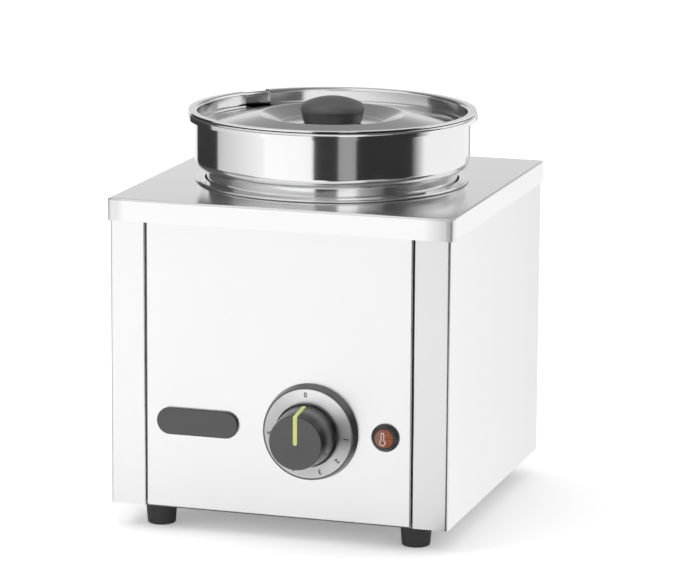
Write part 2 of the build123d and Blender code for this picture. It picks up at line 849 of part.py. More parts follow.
with BuildPart() as lamp_nut:
    with BuildSketch(front_face(lamp_x).offset(-sheet)):
        RegularPolygon(lamp_nut_radius, 6)
        Circle(lamp_body + thread_gap, mode=Mode.SUBTRACT)
    extrude(amount=-lamp_nut_height)
keep(lamp_nut, "lamp_nut")

with BuildPart() as lamp_bulb:
    with BuildSketch(front_face(lamp_x).offset(lamp_floor - lamp_tail)):
        Circle(lamp_bulb_radius)
    extrude(amount=lamp_bulb_length)
    fillet(lamp_bulb.faces().sort_by(Axis.Y)[0].edges(), lamp_bulb_radius / 2)
keep(lamp_bulb, "lamp_bulb")

# Badge plate: bare round-ended plate on two pins
with BuildPart() as badge_plate:
    with BuildSketch(front_face(badge_x)):
        SlotOverall(badge_width, badge_height)
    extrude(amount=badge_thickness)
    fillet(badge_plate.faces().sort_by(Axis.Y)[0].edges(), badge_round)
    with BuildSketch(front_face(badge_x)):
        with GridLocations(badge_pin_spread, 0, 2, 1):
            Circle(badge_pin)
    extrude(amount=-badge_pin_reach)
keep(badge_plate, "badge_plate")

# Heating element: sheathed tube in one open ring under the well, its two legs turned outwards
with BuildPart() as heating_element:
    with BuildLine(Plane.XY.offset(element_z)) as element_path:
        ring = CenterArc((0, 0), element_radius, 90 + element_gap / 2, 360 - element_gap)
        first_turn = JernArc(ring @ 0, (ring % 0) * -1, element_turn, 90)
        last_turn = JernArc(ring @ 1, ring % 1, element_turn, -90)
        Line(first_turn @ 1, (first_turn @ 1) + (first_turn % 1) * element_leg)
        Line(last_turn @ 1, (last_turn @ 1) + (last_turn % 1) * element_leg)
    with BuildSketch(Plane(element_path.wire() ^ 0)):
        Circle(element_tube)
    sweep()
keep(heating_element, "heating_element")

# Clamp: three-armed plate that presses element and cut-out against the well
with BuildPart() as heater_clamp:
    with BuildSketch(Plane.XY.offset(clamp_low)):
        Circle(clamp_hub)
        for turn in (30, 150, 270):
            with Locations(Plane.XY.rotated((0, 0, turn))):
                with Locations((clamp_reach / 2, 0)):
                    Rectangle(clamp_reach, clamp_arm)
        Circle(stud_radius + thread_gap, mode=Mode.SUBTRACT)
        with Locations((0, -cutout_offset)):
            Circle(cutout_body + seat_gap, mode=Mode.SUBTRACT)
    extrude(amount=clamp_wall)
keep(heater_clamp, "heater_clamp")

# Thermal cut-out: capped switch that hangs through the clamp, with two blades
with BuildPart() as thermal_cutout:
    with BuildSketch(Plane.XY.offset(clamp_top)):
        with Locations((0, -cutout_offset)):
            Circle(cutout_cap)
    extrude(amount=well_underside - clamp_top)
    with BuildSketch(Plane.XY.offset(clamp_top)):
        with Locations((0, -cutout_offset)):
            Circle(cutout_body)
    extrude(amount=-clamp_wall - cutout_body_height)
    with BuildSketch(Plane.XY.offset(clamp_low - cutout_body_height)):
        with Locations((0, -cutout_offset)):
            with GridLocations(cutout_body, 0, 2, 1):
                Rectangle(blade_thickness, blade_width)
    extrude(amount=-blade_length)
keep(thermal_cutout, "thermal_cutout")

with BuildPart() as heater_stud:
    with BuildSketch(Plane.XY.offset(well_underside)):
        Circle(stud_radius)
    extrude(amount=-stud_length)
keep(heater_stud, "heater_stud")

with BuildPart() as heater_nut:
    with BuildSketch(Plane.XY.offset(clamp_low)):
        RegularPolygon(stud_nut_radius, 6)
        Circle(stud_radius + thread_gap, mode=Mode.SUBTRACT)
    extrude(amount=-stud_nut_height)
keep(heater_nut, "heater_nut")

# Cable gland through the rear panel: body, seal, dome nut and locknut
gland_section = Plane(origin=(gland_x, body_half, gland_z), x_dir=(1, 0, 0), z_dir=(0, 0, 1))
gland_axis = Axis((gland_x, body_half, gland_z), (0, 1, 0))
spigot_end = gland_flange_height + gland_spigot_length
nut_start = gland_flange_height + seat_gap
with BuildPart() as cable_gland:
    with BuildSketch(gland_face):
        RegularPolygon(gland_flange, 6)
    extrude(amount=gland_flange_height)
    with BuildSketch(gland_face.offset(gland_flange_height)):
        Circle(gland_spigot)
    extrude(amount=gland_spigot_length)
    with BuildSketch(gland_face):
        Circle(gland_thread)
    extrude(amount=-gland_tail)
    with BuildSketch(gland_face.offset(-gland_tail)):
        Circle(gland_bore)
    extrude(amount=gland_tail + spigot_end, mode=Mode.SUBTRACT)
keep(cable_gland, "cable_gland")

with BuildPart() as gland_seal:
    with BuildSketch(gland_face.offset(spigot_end - gland_seal_length)):
        Circle(gland_bore)
        Circle(gland_seal_bore, mode=Mode.SUBTRACT)
    extrude(amount=gland_seal_length)
keep(gland_seal, "gland_seal")

with BuildPart() as gland_nut:
    with BuildSketch(gland_section):
        add(
            turned_section(
                [
                    (gland_spigot + thread_gap, nut_start),
                    (gland_nut_radius, nut_start),
                    (gland_nut_radius, nut_start + gland_nut_height / 2),
                    (gland_nut_mouth + gland_lip, gland_flange_height + gland_nut_height),
                    (gland_nut_mouth, gland_flange_height + gland_nut_height),
                    (gland_nut_mouth, spigot_end + gland_lip),
                    (gland_spigot + thread_gap, spigot_end),
                ]
            )
        )
    revolve(axis=gland_axis)
    with BuildSketch(gland_face):
        RegularPolygon(gland_nut_radius, 6)
    extrude(amount=gland_flange_height + gland_nut_height, mode=Mode.INTERSECT)
keep(gland_nut, "gland_nut")

with BuildPart() as gland_locknut:
    with BuildSketch(gland_face.offset(-sheet)):
        RegularPolygon(locknut_radius, 6)
        Circle(gland_thread + thread_gap, mode=Mode.SUBTRACT)
    extrude(amount=-locknut_height)
keep(gland_locknut, "gland_locknut")

# Terminal block on the base plate, with its clamp screws and its two fixing screws
with BuildPart() as terminal_block:
    with BuildSketch(Plane.XY.offset(base_top)):
        with Locations((block_x, block_y)):
            RectangleRounded(block_width, block_depth, block_round)
    extrude(amount=block_height)
    with Locations(facing_back(block_x, block_y, base_top + block_height / 2)):
        with GridLocations(block_pitch, 0, 3, 1):
            Hole(block_wire_bore, depth=block_depth)
    with Locations((block_x, block_y, block_top)):
        with GridLocations(block_pitch, 0, 3, 1):
            Hole(block_screw_radius + thread_gap, depth=block_screw_sink + block_screw_length)
    with Locations((block_x, block_y, base_top)):
        with GridLocations(block_fixing_spread, 0, 2, 1):
            Hole(tap_radius + thread_gap, depth=tap_length + seat_gap)
keep(terminal_block, "terminal_block")

with BuildPart() as terminal_screws:
    with BuildSketch(Plane.XY.offset(block_top - block_screw_sink)):
        with Locations((block_x, block_y)):
            with GridLocations(block_pitch, 0, 3, 1):
                Circle(block_screw_radius)
    extrude(amount=-block_screw_length)
keep(terminal_screws, "terminal_screws")

# Earth stud through the base plate, with its nuts
with BuildPart() as earth_stud:
    with BuildSketch(Plane.XY.offset(base_low)):
        with Locations((earth_x, earth_y)):
            Circle(earth_radius)
    extrude(amount=earth_length)
keep(earth_stud, "earth_stud")

with BuildPart() as earth_nuts:
    for nut_z in (base_top, base_top + earth_nut_lift):
        with BuildSketch(Plane.XY.offset(nut_z)):
            with Locations((earth_x, earth_y)):
                RegularPolygon(earth_nut_radius, 6)
                Circle(earth_radius + thread_gap, mode=Mode.SUBTRACT)
        extrude(amount=earth_nut_height)
keep(earth_nuts, "earth_nuts")

# Rubber feet with a recess for their screws
for foot_name, (foot_x, foot_y) in foot_places.items():
    with BuildPart() as foot:
        with BuildSketch(Plane((foot_x, foot_y, 0), x_dir=(1, 0, 0), z_dir=(0, -1, 0))) as foot_half:
            add(
                turned_section(
                    [
                        (foot_recess, 0),
                        (foot_bottom, 0),
                        (foot_top, base_low),
                        (m4_hole, base_low),
                        (m4_hole, foot_recess_depth),
                        (foot_recess, foot_recess_depth),
                    ]
                )
            )
            fillet(foot_half.vertices().group_by(Axis.Y)[0].sort_by(Axis.X)[-1], foot_round)
        revolve(axis=Axis((foot_x, foot_y, 0), (0, 0, 1)))
    keep(foot, foot_name)

with BuildPart() as foot_screws:
    with BuildSketch(Plane.XY.offset(foot_recess_depth)):
        with Locations(*foot_places.values()):
            Circle(m4_head)
    extrude(amount=-m4_head_height)
    with BuildSketch(Plane.XY.offset(foot_recess_depth)):
        with Locations(*foot_places.values()):
            Circle(m4_radius)
    extrude(amount=base_top + m4_tip - foot_recess_depth)
keep(foot_screws, "foot_screws")

with BuildPart() as foot_nuts:
    with BuildSketch(Plane.XY.offset(base_top)):
        with Locations(*foot_places.values()):
            RegularPolygon(m4_nut, 6)
            Circle(m4_radius + thread_gap, mode=Mode.SUBTRACT)
    extrude(amount=m4_nut_height)
keep(foot_nuts, "foot_nuts")


def tapping_screws(seat_planes, reach):
    """Tapping screws whose heads lie on the planes, with the shanks going in by the reach."""
    with BuildPart() as screws:
        with BuildSketch(*seat_planes):
            Circle(tap_head)
        extrude(amount=tap_head_height)
        with BuildSketch(*seat_planes):
            Circle(tap_radius)
        extrude(amount=-reach)
    return screws


# Tapping screws of the base plate, the panels, the cover and the terminal block
base_screws = tapping_screws(
    [Plane((x, y, base_z), z_dir=(0, 0, -1)) for x, y in base_screw_places],
    sheet + base_sheet + tap_length / 2,
)
keep(base_screws, "base_screws")

panel_screws = tapping_screws(
    [
        Plane((x, -facing * (rebate_y - sheet), base_z + height), z_dir=(0, facing, 0))
        for x in (-panel_screw_x, panel_screw_x)
        for facing in (-1, 1)
        for height in panel_screw_heights
    ],
    2 * sheet + tap_length / 2,
)
keep(panel_screws, "panel_screws")

cover_screws = tapping_screws(
    [facing_back(x, cover_width / 2, cover_screw_z) for x in (-cover_screw_x, cover_screw_x)],
    tap_length,
)
keep(cover_screws, "cover_screws")

block_screws = tapping_screws(
    [
        Plane((block_x + step * block_fixing_spread / 2, block_y, base_low), z_dir=(0, 0, -1))
        for step in (-1, 1)
    ],
    base_sheet + tap_length,
)
keep(block_screws, "block_screws")
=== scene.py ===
# %% [markdown]
# # A countertop bain-marie, dressed for its picture
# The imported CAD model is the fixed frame: it says where every piece is and how it moves. This script
# puts smooth surfaces and real finishes on it. They could be modelled by hand, but each one is worked
# out with numpy as a grid of points, because a formula gives even, clean faces. Sizes are in
# millimetres, as a maker reads them, and MM turns them into Blender's metres.

# %% Load the frame
import bmesh
import bpy
import numpy as np
from mathutils import Matrix
from numpy.linalg import norm


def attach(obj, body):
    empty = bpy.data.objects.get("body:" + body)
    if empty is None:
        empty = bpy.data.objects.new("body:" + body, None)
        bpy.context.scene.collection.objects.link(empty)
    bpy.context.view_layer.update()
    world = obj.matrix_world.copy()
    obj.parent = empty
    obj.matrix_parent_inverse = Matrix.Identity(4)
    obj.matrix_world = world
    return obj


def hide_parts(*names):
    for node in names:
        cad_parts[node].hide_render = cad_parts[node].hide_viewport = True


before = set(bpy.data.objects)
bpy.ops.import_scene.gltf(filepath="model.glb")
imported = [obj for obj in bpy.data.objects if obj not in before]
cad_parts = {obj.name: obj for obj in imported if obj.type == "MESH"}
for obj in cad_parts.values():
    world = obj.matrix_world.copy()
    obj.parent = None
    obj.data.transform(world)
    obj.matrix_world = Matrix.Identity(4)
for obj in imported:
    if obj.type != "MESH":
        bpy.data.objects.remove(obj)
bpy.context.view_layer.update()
scene = bpy.context.scene
MM = 0.001

# %% [markdown]
# ## The camera
# The camera was fitted to six corners of the cabinet and to the ring of the pot's rim. It stands a
# little to the right of the front and looks slightly down through a long lens, so upright edges stay
# nearly upright. A constraint could aim it, but three axes built from its angles also take the small
# roll that turns the picture level.

# %% Camera
AZIMUTH, ELEVATION, ROLL = np.radians([17.2815, 11.7792, 0.3477])
AIM, DISTANCE = np.array([6.15, 0.0, 151.88]), 2584.3
FOCAL_PIXELS, IMAGE_WIDTH, SENSOR = 3736.29, 680, 36.0


def placed(data, axes, place):
    """New object in the scene, with its three axes and its place."""
    pose = np.eye(4)
    pose[:3, :3] = np.stack(axes, axis=1)
    pose[:3, 3] = place * MM
    thing = bpy.data.objects.new(data.name, data)
    thing.matrix_world = Matrix(pose.tolist())
    scene.collection.objects.link(thing)
    return thing


back = np.array([
    np.sin(AZIMUTH) * np.cos(ELEVATION), -np.cos(AZIMUTH) * np.cos(ELEVATION), np.sin(ELEVATION)])
sideways = np.array([np.cos(AZIMUTH), np.sin(AZIMUTH), 0.0])
upright = np.cross(back, sideways)
camera_x = sideways * np.cos(ROLL) + upright * np.sin(ROLL)
camera_y = upright * np.cos(ROLL) - sideways * np.sin(ROLL)
camera_data = bpy.data.cameras.new("camera")
camera_data.sensor_width = SENSOR
camera_data.lens = FOCAL_PIXELS * SENSOR / IMAGE_WIDTH
scene.camera = placed(camera_data, (camera_x, camera_y, back), AIM + DISTANCE * back)
print(f"lens {camera_data.lens:.1f} mm")

# %% [markdown]
# ## Node helpers
# A finish is a small tree of shader nodes. Writing each tree link by link hides what it does, so one
# helper makes a node and gives back its output, which then goes into the sockets of the next one.

# %% Node helpers
def fill(node, sockets):
    """Fills a node's sockets, each with a value or with the output of another node."""
    for key, value in sockets.items():
        if isinstance(value, bpy.types.NodeSocket):
            node.id_data.links.new(value, node.inputs[key])
        else:
            node.inputs[key].default_value = value


def add_node(tree, kind, output, sockets=None, **options):
    """One output of a new shader node, with its options set and its sockets filled."""
    node = tree.nodes.new(f"ShaderNode{kind}")
    for key, value in options.items():
        setattr(node, key, value)
    fill(node, sockets or {})
    return node.outputs[output]


def maths(tree, operation, first, second):
    """Two values put together by an operation."""
    return add_node(tree, "Math", "Value", {0: first, 1: second}, operation=operation)


def ranged(tree, value, start, end, low=0.0, high=1.0):
    """Goes from low to high while the value goes from start to end, and stays level beyond them."""
    return add_node(tree, "MapRange", "Result", {
        "Value": value, "From Min": start, "From Max": end, "To Min": low, "To Max": high})


def blended(tree, share, first, second):
    """Goes from the first colour to the second with the share."""
    return add_node(tree, "Mix", 2, {0: share, 6: first, 7: second}, data_type="RGBA")


def noise(tree, place, scale, detail=2.0):
    """Noise from 0 to 1 at a place, with about scale features to each unit of length."""
    return add_node(tree, "TexNoise", "Fac", {"Vector": place, "Scale": scale, "Detail": detail})


def object_place(tree):
    """The place on the object, in the frame that all pieces share."""
    return add_node(tree, "TexCoord", "Object")


def coordinates(tree):
    """The place's X, Y and Z, and its distance R from the Z axis."""
    parts = add_node(tree, "SeparateXYZ", "X", {"Vector": object_place(tree)}).node.outputs
    flat = add_node(tree, "CombineXYZ", "Vector", {"X": parts["X"], "Y": parts["Y"]})
    return {"X": parts["X"], "Y": parts["Y"], "Z": parts["Z"],
            "R": add_node(tree, "VectorMath", "Value", {0: flat}, operation="LENGTH")}


# %% [markdown]
# ## Finishes
# Real surfaces are never quite even, so all finishes have the same make-up: a fine pattern sets
# roughness and bump, and a slow cloud varies the colour. Photographed textures could do this too, but
# a pattern of nodes has no seam. What is the same all over is set on the shader itself.

# %% Parts of a finish
finish = {}


def new_finish(name, colour, roughness, sockets=None):
    """New material in the list of finishes: gives its node tree and its Principled shader."""
    finish[name] = bpy.data.materials.new(name)
    finish[name].use_nodes = True
    tree = finish[name].node_tree
    shader = tree.nodes["Principled BSDF"]
    fill(shader, {"Base Color": (*colour, 1), "Roughness": roughness, **(sockets or {})})
    return tree, shader


def drive(shader, pattern, roughness, depth):
    """Lets a pattern from 0 to 1 set the roughness, and the bump, whose depth is in millimetres."""
    tree = shader.id_data
    bump = {"Height": pattern, "Strength": 1.0, "Distance": depth * MM}
    fill(shader, {"Roughness": ranged(tree, pattern, 0.0, 1.0, *roughness),
                  "Normal": add_node(tree, "Bump", "Normal", bump)})


def darker(colour, share):
    """The colour with all three channels scaled down."""
    return tuple(channel * share for channel in colour)


def textured(name, colour, roughness, scale, depth, pattern, shade, cloud_scale, metallic=1.0):
    """Finish with a pattern of some scale, and a cloud that goes from a shade to the colour."""
    tree, shader = new_finish(name, colour, roughness[0], {"Metallic": metallic})
    drive(shader, pattern(tree, scale), roughness, depth)
    cloud = noise(tree, object_place(tree), cloud_scale)
    fill(shader, {"Base Color": blended(tree, cloud, (*darker(colour, shade), 1), (*colour, 1))})


# %% [markdown]
# The cabinet is cold-rolled stainless sheet with a fine straight grain. The pot, lid and well are
# drawn and then polished while they spin, so their fine lines run round the axis. Both patterns are
# noise stretched along the grain: on Object coordinates for the sheets, and on radius and height
# for the spun pieces, where the angle plays no part.

# %% Rolled and spun metal
CLOUD_SCALE, LINE_DETAIL, SHEET_SHADE, SPUN_SHADE = 14.0, 3.0, 0.96, 0.97
# SHADED_SIDE is the same sheet painted darker: painted shade on the right side sheet.
BRIGHT, SHADED_SIDE = (0.92, 0.92, 0.925), (0.81, 0.81, 0.815)
POLISHED, PLAIN = (0.90, 0.90, 0.905), (0.72, 0.72, 0.725)
SATIN, UPRIGHT = (0.25, 0.28), (900, 900, 6)


def straight_lines(tree, scale):
    """Noise that runs at its own speed along X, Y and Z, per metre."""
    place = add_node(tree, "Mapping", "Vector", {"Vector": object_place(tree), "Scale": scale})
    return noise(tree, place, 1.0, LINE_DETAIL)


def ring_lines(tree, scale):
    """Noise on radius and height, which gives rings round the Z axis."""
    at = coordinates(tree)
    section = add_node(tree, "CombineXYZ", "Vector", {"X": at["R"], "Y": at["Z"]})
    return noise(tree, section, scale, LINE_DETAIL)


for row in (
    ("front_steel", BRIGHT, SATIN, UPRIGHT, 0.0002),
    ("side_steel_left", BRIGHT, SATIN, UPRIGHT, 0.0002),
    # the right side sheet is painted darker than the left, as painted shade
    ("side_steel_right", SHADED_SIDE, SATIN, UPRIGHT, 0.0002),
    ("cover_steel", BRIGHT, (0.15, 0.19), (6, 900, 900), 0.0004),
    ("base_steel", PLAIN, (0.3, 0.42), (8, 700, 700), 0.001),
    ("heater_steel", (0.36, 0.34, 0.33), (0.35, 0.5), (300, 300, 300), 0.004),
    ("copper", (0.72, 0.36, 0.22), (0.22, 0.36), (60, 700, 700), 0.001),
    ("brass", (0.75, 0.56, 0.27), (0.2, 0.34), (500, 500, 500), 0.001),
):
    textured(*row, straight_lines, SHEET_SHADE, CLOUD_SCALE)
for row in (
    ("pot_steel", POLISHED, (0.09, 0.13), 1400, 0.0002),
    ("lid_steel", POLISHED, (0.1, 0.14), 1200, 0.0003),
    ("well_steel", POLISHED, (0.12, 0.16), 1200, 0.0004),
    ("fastener_steel", PLAIN, (0.22, 0.34), 2500, 0.0008),
):
    textured(*row, ring_lines, SPUN_SHADE, CLOUD_SCALE)
print("metals:", sorted(finish))

# %% [markdown]
# The knobs and bezels are moulded in dark grey with a faint spark-eroded grain. Displaced faces could
# give it, but it is far finer than any face, so noise in the bump is enough. Rubber is the same idea,
# rougher and duller. The pale plastics only show when the cabinet is opened.

# %% Moulded finishes
MOULDED_CLOUD, MOULDED_SHADE = 56.0, 0.85


def grain(tree, scale):
    """Fine noise, the same in all directions."""
    return noise(tree, object_place(tree), scale)


for row in (
    ("knob_plastic", (0.09, 0.09, 0.092), (0.34, 0.44), 2600, 0.006),
    ("lid_knob_plastic", (0.095, 0.095, 0.097), (0.36, 0.46), 2200, 0.006),
    ("lamp_plastic", (0.036, 0.036, 0.038), (0.24, 0.36), 2600, 0.004),
    ("badge_plastic", (0.088, 0.088, 0.09), (0.26, 0.34), 2600, 0.003),
    ("pointer_plastic", (0.72, 0.76, 0.26), (0.4, 0.5), 2600, 0.003),
    ("foot_rubber", (0.046, 0.046, 0.047), (0.55, 0.75), 1500, 0.02),
    ("seal_rubber", (0.02, 0.02, 0.021), (0.6, 0.8), 1800, 0.015),
    ("switch_plastic", (0.62, 0.60, 0.55), (0.4, 0.55), 1800, 0.01),
    ("block_plastic", (0.70, 0.69, 0.66), (0.4, 0.55), 1800, 0.01),
    ("gland_plastic", (0.05, 0.05, 0.052), (0.4, 0.55), 2000, 0.008),
    ("print_ink", (0.03, 0.03, 0.032), (0.5, 0.6), 3000, 0.001),
    ("sign_ink", (0.86, 0.72, 0.66), (0.45, 0.6), 3000, 0.001),
):
    textured(*row, grain, MOULDED_SHADE, MOULDED_CLOUD, metallic=0.0)
textured("bezel_plastic", (0.15, 0.15, 0.153), (0.16, 0.24), 2600, 0.003,
         grain, MOULDED_SHADE, MOULDED_CLOUD, metallic=0.8)
print("all finishes:", len(finish))

# %% [markdown]
# Some places differ from the rest of their piece, and most of them are painted light and shade: a
# painted shadow under the lid's flange, at the foot of the well's lip and along the foot of the front
# sheet; painted shade on the knob's face edge and foot, on the badge's bevel, on the lid knob's flank
# and at the ends of the cover's skirts; a painted highlight on the knob's flank; and painted light that
# makes the right side lighter towards the front. The knob's edge and foot and the badge's bevel are also
# glossier, and the cover's rounded corner rougher. Such a place could have a material of its own, with a
# hard border. A zone between limits fades in instead, and the piece keeps one material.

# %% Second zones
# SHADE_BLACK is the near-black of painted shade on the knob's edge and foot.
SHADE_BLACK, FRONT_SKIRT = (0.008, 0.008, 0.009), (-119.3, -119.6)


def second_zone(look, limits, colour, roughness):
    """Another colour and roughness where every limit is passed. A limit is a coordinate, X, Y, Z or R,
    with the two places, in millimetres, between which it fades in."""
    tree = finish[look].node_tree
    shader = tree.nodes["Principled BSDF"]
    at = coordinates(tree)
    share = 1.0
    for axis, (start, end) in limits.items():
        share = maths(tree, "MULTIPLY", share, ranged(tree, at[axis], start * MM, end * MM))
    paint, gloss = [shader.inputs[key].links[0].from_socket for key in ("Base Color", "Roughness")]
    fill(shader, {"Base Color": blended(tree, share, paint, (*colour, 1)),
                  "Roughness": add_node(tree, "Mix", 0, {0: share, 2: gloss, 3: roughness})})


zones = (
    # painted shade on the rounded edge of the knob's face and on its foot, which are also glossier, and a
    # painted highlight as a lighter band on its flank
    ("knob_plastic", {"Y": (-152.7, -152.5)}, SHADE_BLACK, 0.12),  # edge of the face
    ("knob_plastic", {"Y": (-147.0, -141.0)}, (0.12, 0.12, 0.122), 0.2),  # flank
    ("knob_plastic", {"Y": (-138.5, -134.0)}, SHADE_BLACK, 0.2),  # foot
    # painted shade on the badge's bevel, which is also glossier
    ("badge_plastic", {"Y": (-120.8, -120.6)}, (0.015, 0.015, 0.016), 0.12),  # edge
    # painted shade: the lid knob's flank below the seam is darker than the dome
    ("lid_knob_plastic", {"Z": (275.3, 275.15)}, (0.042, 0.042, 0.043), 0.34),  # flank
    # painted shadow: the underside of the lid's flange, where it sits on the pot's rim, is dark
    ("lid_steel", {"Z": (275.1, 275.04), "R": (95.4, 95.6)}, (0.03, 0.03, 0.03), 0.5),  # flange
    # painted shadow along the foot of the well's rolled lip, where it meets the cover
    ("well_steel", {"Z": (227.7, 227.4), "R": (93.1, 93.3)}, (0.2, 0.2, 0.2), 0.4),  # foot of the lip
    # painted shade at both ends of the front skirt and on the side skirt near the front corner
    ("cover_steel", {"X": (100, 113), "Y": FRONT_SKIRT}, darker(BRIGHT, 0.7), 0.17),  # right end
    ("cover_steel", {"X": (-108, -113), "Y": FRONT_SKIRT}, darker(BRIGHT, 0.82), 0.17),  # left end
    ("cover_steel", {"X": (119.3, 119.6), "Y": (-110, -115)}, darker(BRIGHT, 0.88), 0.17),  # side skirt
    ("cover_steel", {"X": (116.8, 117.4), "Y": (-116.8, -117.4)}, BRIGHT, 0.5),  # corner
    # painted light: the right side sheet's outer face grows lighter towards the front
    ("side_steel_right", {"X": (117.6, 118.2), "Y": (118, -118)}, darker(BRIGHT, 0.965), 0.26),  # side
    # painted shade: a dark line along the foot of the front sheet
    ("front_steel", {"Z": (18.1, 17.6), "Y": (-118.1, -118.3)}, darker(BRIGHT, 0.12), 0.4),  # lower edge
)
for zone in zones:
    second_zone(*zone)
print("second zones:", len(zones))

# %% [markdown]
# ## From a grid to a closed piece
# Sheet metal is one surface with an even wall, so a piece starts as a grid of points. A modifier could
# give the wall, but here the mesh is complete as it is written: its inner face is the same grid moved
# along the point normals, and strips close it along every open edge. Solid turned pieces need no
# wall: their section is spun round the axis from end to end.

# %% Paths and grids
ARC_STEPS = 8
HOLD = 0.05


def rounded_path(points, radii, steps=ARC_STEPS):
    """Path through the points, with an arc in place of every inner corner. An arc starts radius times
    tan(half the turn) before its corner. A holding point before and after keeps straight runs flat."""
    points = np.asarray(points, float)
    radii = np.broadcast_to(radii, len(points) - 2)
    runs = [points[:1]]
    for before, corner, after, radius in zip(points, points[1:], points[2:], radii):
        way_in = (corner - before) / norm(corner - before)
        way_out = (after - corner) / norm(after - corner)
        left = np.array([-way_in[1], way_in[0]])
        turn = np.arctan2(way_out @ left, way_out @ way_in)
        start = corner - radius * np.tan(abs(turn) / 2) * way_in
        angle = np.linspace(0, abs(turn), steps + 1)[:, None]
        arc = start + radius * (np.sin(angle) * way_in + (1 - np.cos(angle)) * np.sign(turn) * left)
        runs += [[start - HOLD * way_in], arc, [arc[-1] + HOLD * way_out]]
    return np.vstack(runs + [points[-1:]])


def unit(angle):
    """Plan directions (cos a, sin a)."""
    return np.stack([np.cos(angle), np.sin(angle)], -1)


def full_turn(steps):
    """Even angles round a circle, in radians, without the last one, which is the first again."""
    return np.linspace(0, 2 * np.pi, steps, endpoint=False)


def polar(radius, angle, height):
    """Points at radius r, angle a and height h: (r cos a, r sin a, h)."""
    return np.stack(np.broadcast_arrays(radius * np.cos(angle), radius * np.sin(angle), height), -1)


def lifted(flat, heights):
    """Rows of plan points, each row lifted to its height."""
    tall = np.broadcast_to(np.asarray(heights, float)[:, None, None], (*flat.shape[:2], 1))
    return np.concatenate([flat, tall], -1)


def grid_shell(points, closed=True):
    """Rows of points as a shell: the points in one list, and the point numbers of each quad.
    A closed grid joins its last column to the first."""
    rows, columns = points.shape[:2]
    row, column = np.mgrid[0:rows - 1, 0:columns if closed else columns - 1]
    near = row * columns + column
    far = row * columns + (column + 1) % columns
    return points.reshape(-1, 3), np.stack([near, far, far + columns, near + columns], -1).reshape(-1, 4)


def turned(profile, steps=192):
    """Surface of revolution of a profile of radius and height, with the outside on its right hand."""
    return grid_shell(polar(profile[:, :1], full_turn(steps), profile[:, 1:]))


# %% Walls and joining
def thickened(points, quads, wall):
    """Closed sheet: the surface, a copy moved by the wall against the point normals, and a strip
    along each edge that only one quad has. A point normal is the sum of its quads' normals."""
    used, quads = np.unique(quads, return_inverse=True)
    points, quads = points[used], quads.reshape(-1, 4)
    corners = points[quads]
    facing = np.cross(corners[:, 2] - corners[:, 0], corners[:, 3] - corners[:, 1])
    normal = np.zeros_like(points)
    np.add.at(normal, quads.ravel(), np.repeat(facing, 4, axis=0))
    normal /= norm(normal, axis=1, keepdims=True)
    edges = np.stack([quads, np.roll(quads, -1, axis=1)], -1).reshape(-1, 2)
    _, first, count = np.unique(np.sort(edges, axis=1), axis=0, return_index=True, return_counts=True)
    rim = edges[first[count == 1]]
    shift = len(points)
    strip = np.stack([rim[:, 1], rim[:, 0], rim[:, 0] + shift, rim[:, 1] + shift], -1)
    return (np.vstack([points, points - wall * normal]),
            np.vstack([quads, quads[:, ::-1] + shift, strip]))


def joined(shells):
    """Several shells as one: the points stacked, and each shell's numbers moved on."""
    starts = np.cumsum([0] + [len(points) for points, _ in shells])
    return (np.vstack([points for points, _ in shells]),
            np.vstack([faces + start for (_, faces), start in zip(shells, starts)]))


def seated(shell, origin, facing):
    """Shell moved from its own frame to a seat: its Z axis turns to the facing direction."""
    axis_z = np.asarray(facing, float)
    axis_y = np.array([0.0, 1.0, 0.0] if axis_z[2] else [0.0, 0.0, 1.0])
    axis_x = np.cross(axis_y, axis_z)
    points, faces = shell
    return np.asarray(origin, float) + points @ np.stack([axis_x, axis_y, axis_z]), faces


# %% [markdown]
# A piece also has to ride on its body, carry its finish in its slot and hide the CAD node that it
# stands for. One helper does this for all, so that none is forgotten.
# The object stays at the origin, with its place in the mesh, because patterns use Object coordinates.

# %% Put a piece into the scene
MERGE = 1e-7
SHARP = np.radians(34)


def put_mesh(name, points, faces, look):
    """Mesh object at the origin with one finish."""
    mesh = bpy.data.meshes.new(name)
    mesh.from_pydata((points * MM).tolist(), [], faces.tolist())
    mesh.materials.append(finish[look])
    thing = bpy.data.objects.new(name, mesh)
    scene.collection.objects.link(thing)
    return thing


def put_piece(name, shell, look, node=None, body="cabinet"):
    """Piece that rides on a body and hides the CAD node that it stands for, if any: doubles merged, faces
    smooth, and edges over SHARP kept crisp. Its slot holds its finish."""
    piece = put_mesh(name, *shell, look)
    mesh = piece.data
    work = bmesh.new()
    work.from_mesh(mesh)
    bmesh.ops.remove_doubles(work, verts=work.verts, dist=MERGE)
    work.to_mesh(mesh)
    volume = work.calc_volume(signed=True) / MM ** 3
    work.free()
    mesh.shade_smooth()
    mesh.set_sharp_from_angle(angle=SHARP)
    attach(piece, body)
    if node:
        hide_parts(node)
    print(f"{name}: {len(mesh.polygons)} faces, {volume:.0f} mm3")


# %% [markdown]
# ## Top cover
# One square sheet with four folded skirts, a slit at each corner and a round hole for the well.
# A box with a boolean hole would do, but its faces would be ragged. Here the columns of the grid fan
# out from the round hole to the square outline and go over the fold and down the skirts. The slit is
# simply a column of quads that is left out.

# %% Top cover
DECK, BOW_HALF = 227.0, 0.42
COVER_HALF, COVER_SKIRT, COVER_WALL, COVER_HOLE = 120.0, 15.0, 0.9, 88.5
COVER_CORNER, COVER_EDGE, COVER_SEAM = 3.0, 1.4, 0.5
PLATE_SHARES = np.array([0.003, 0.5, 1.0])


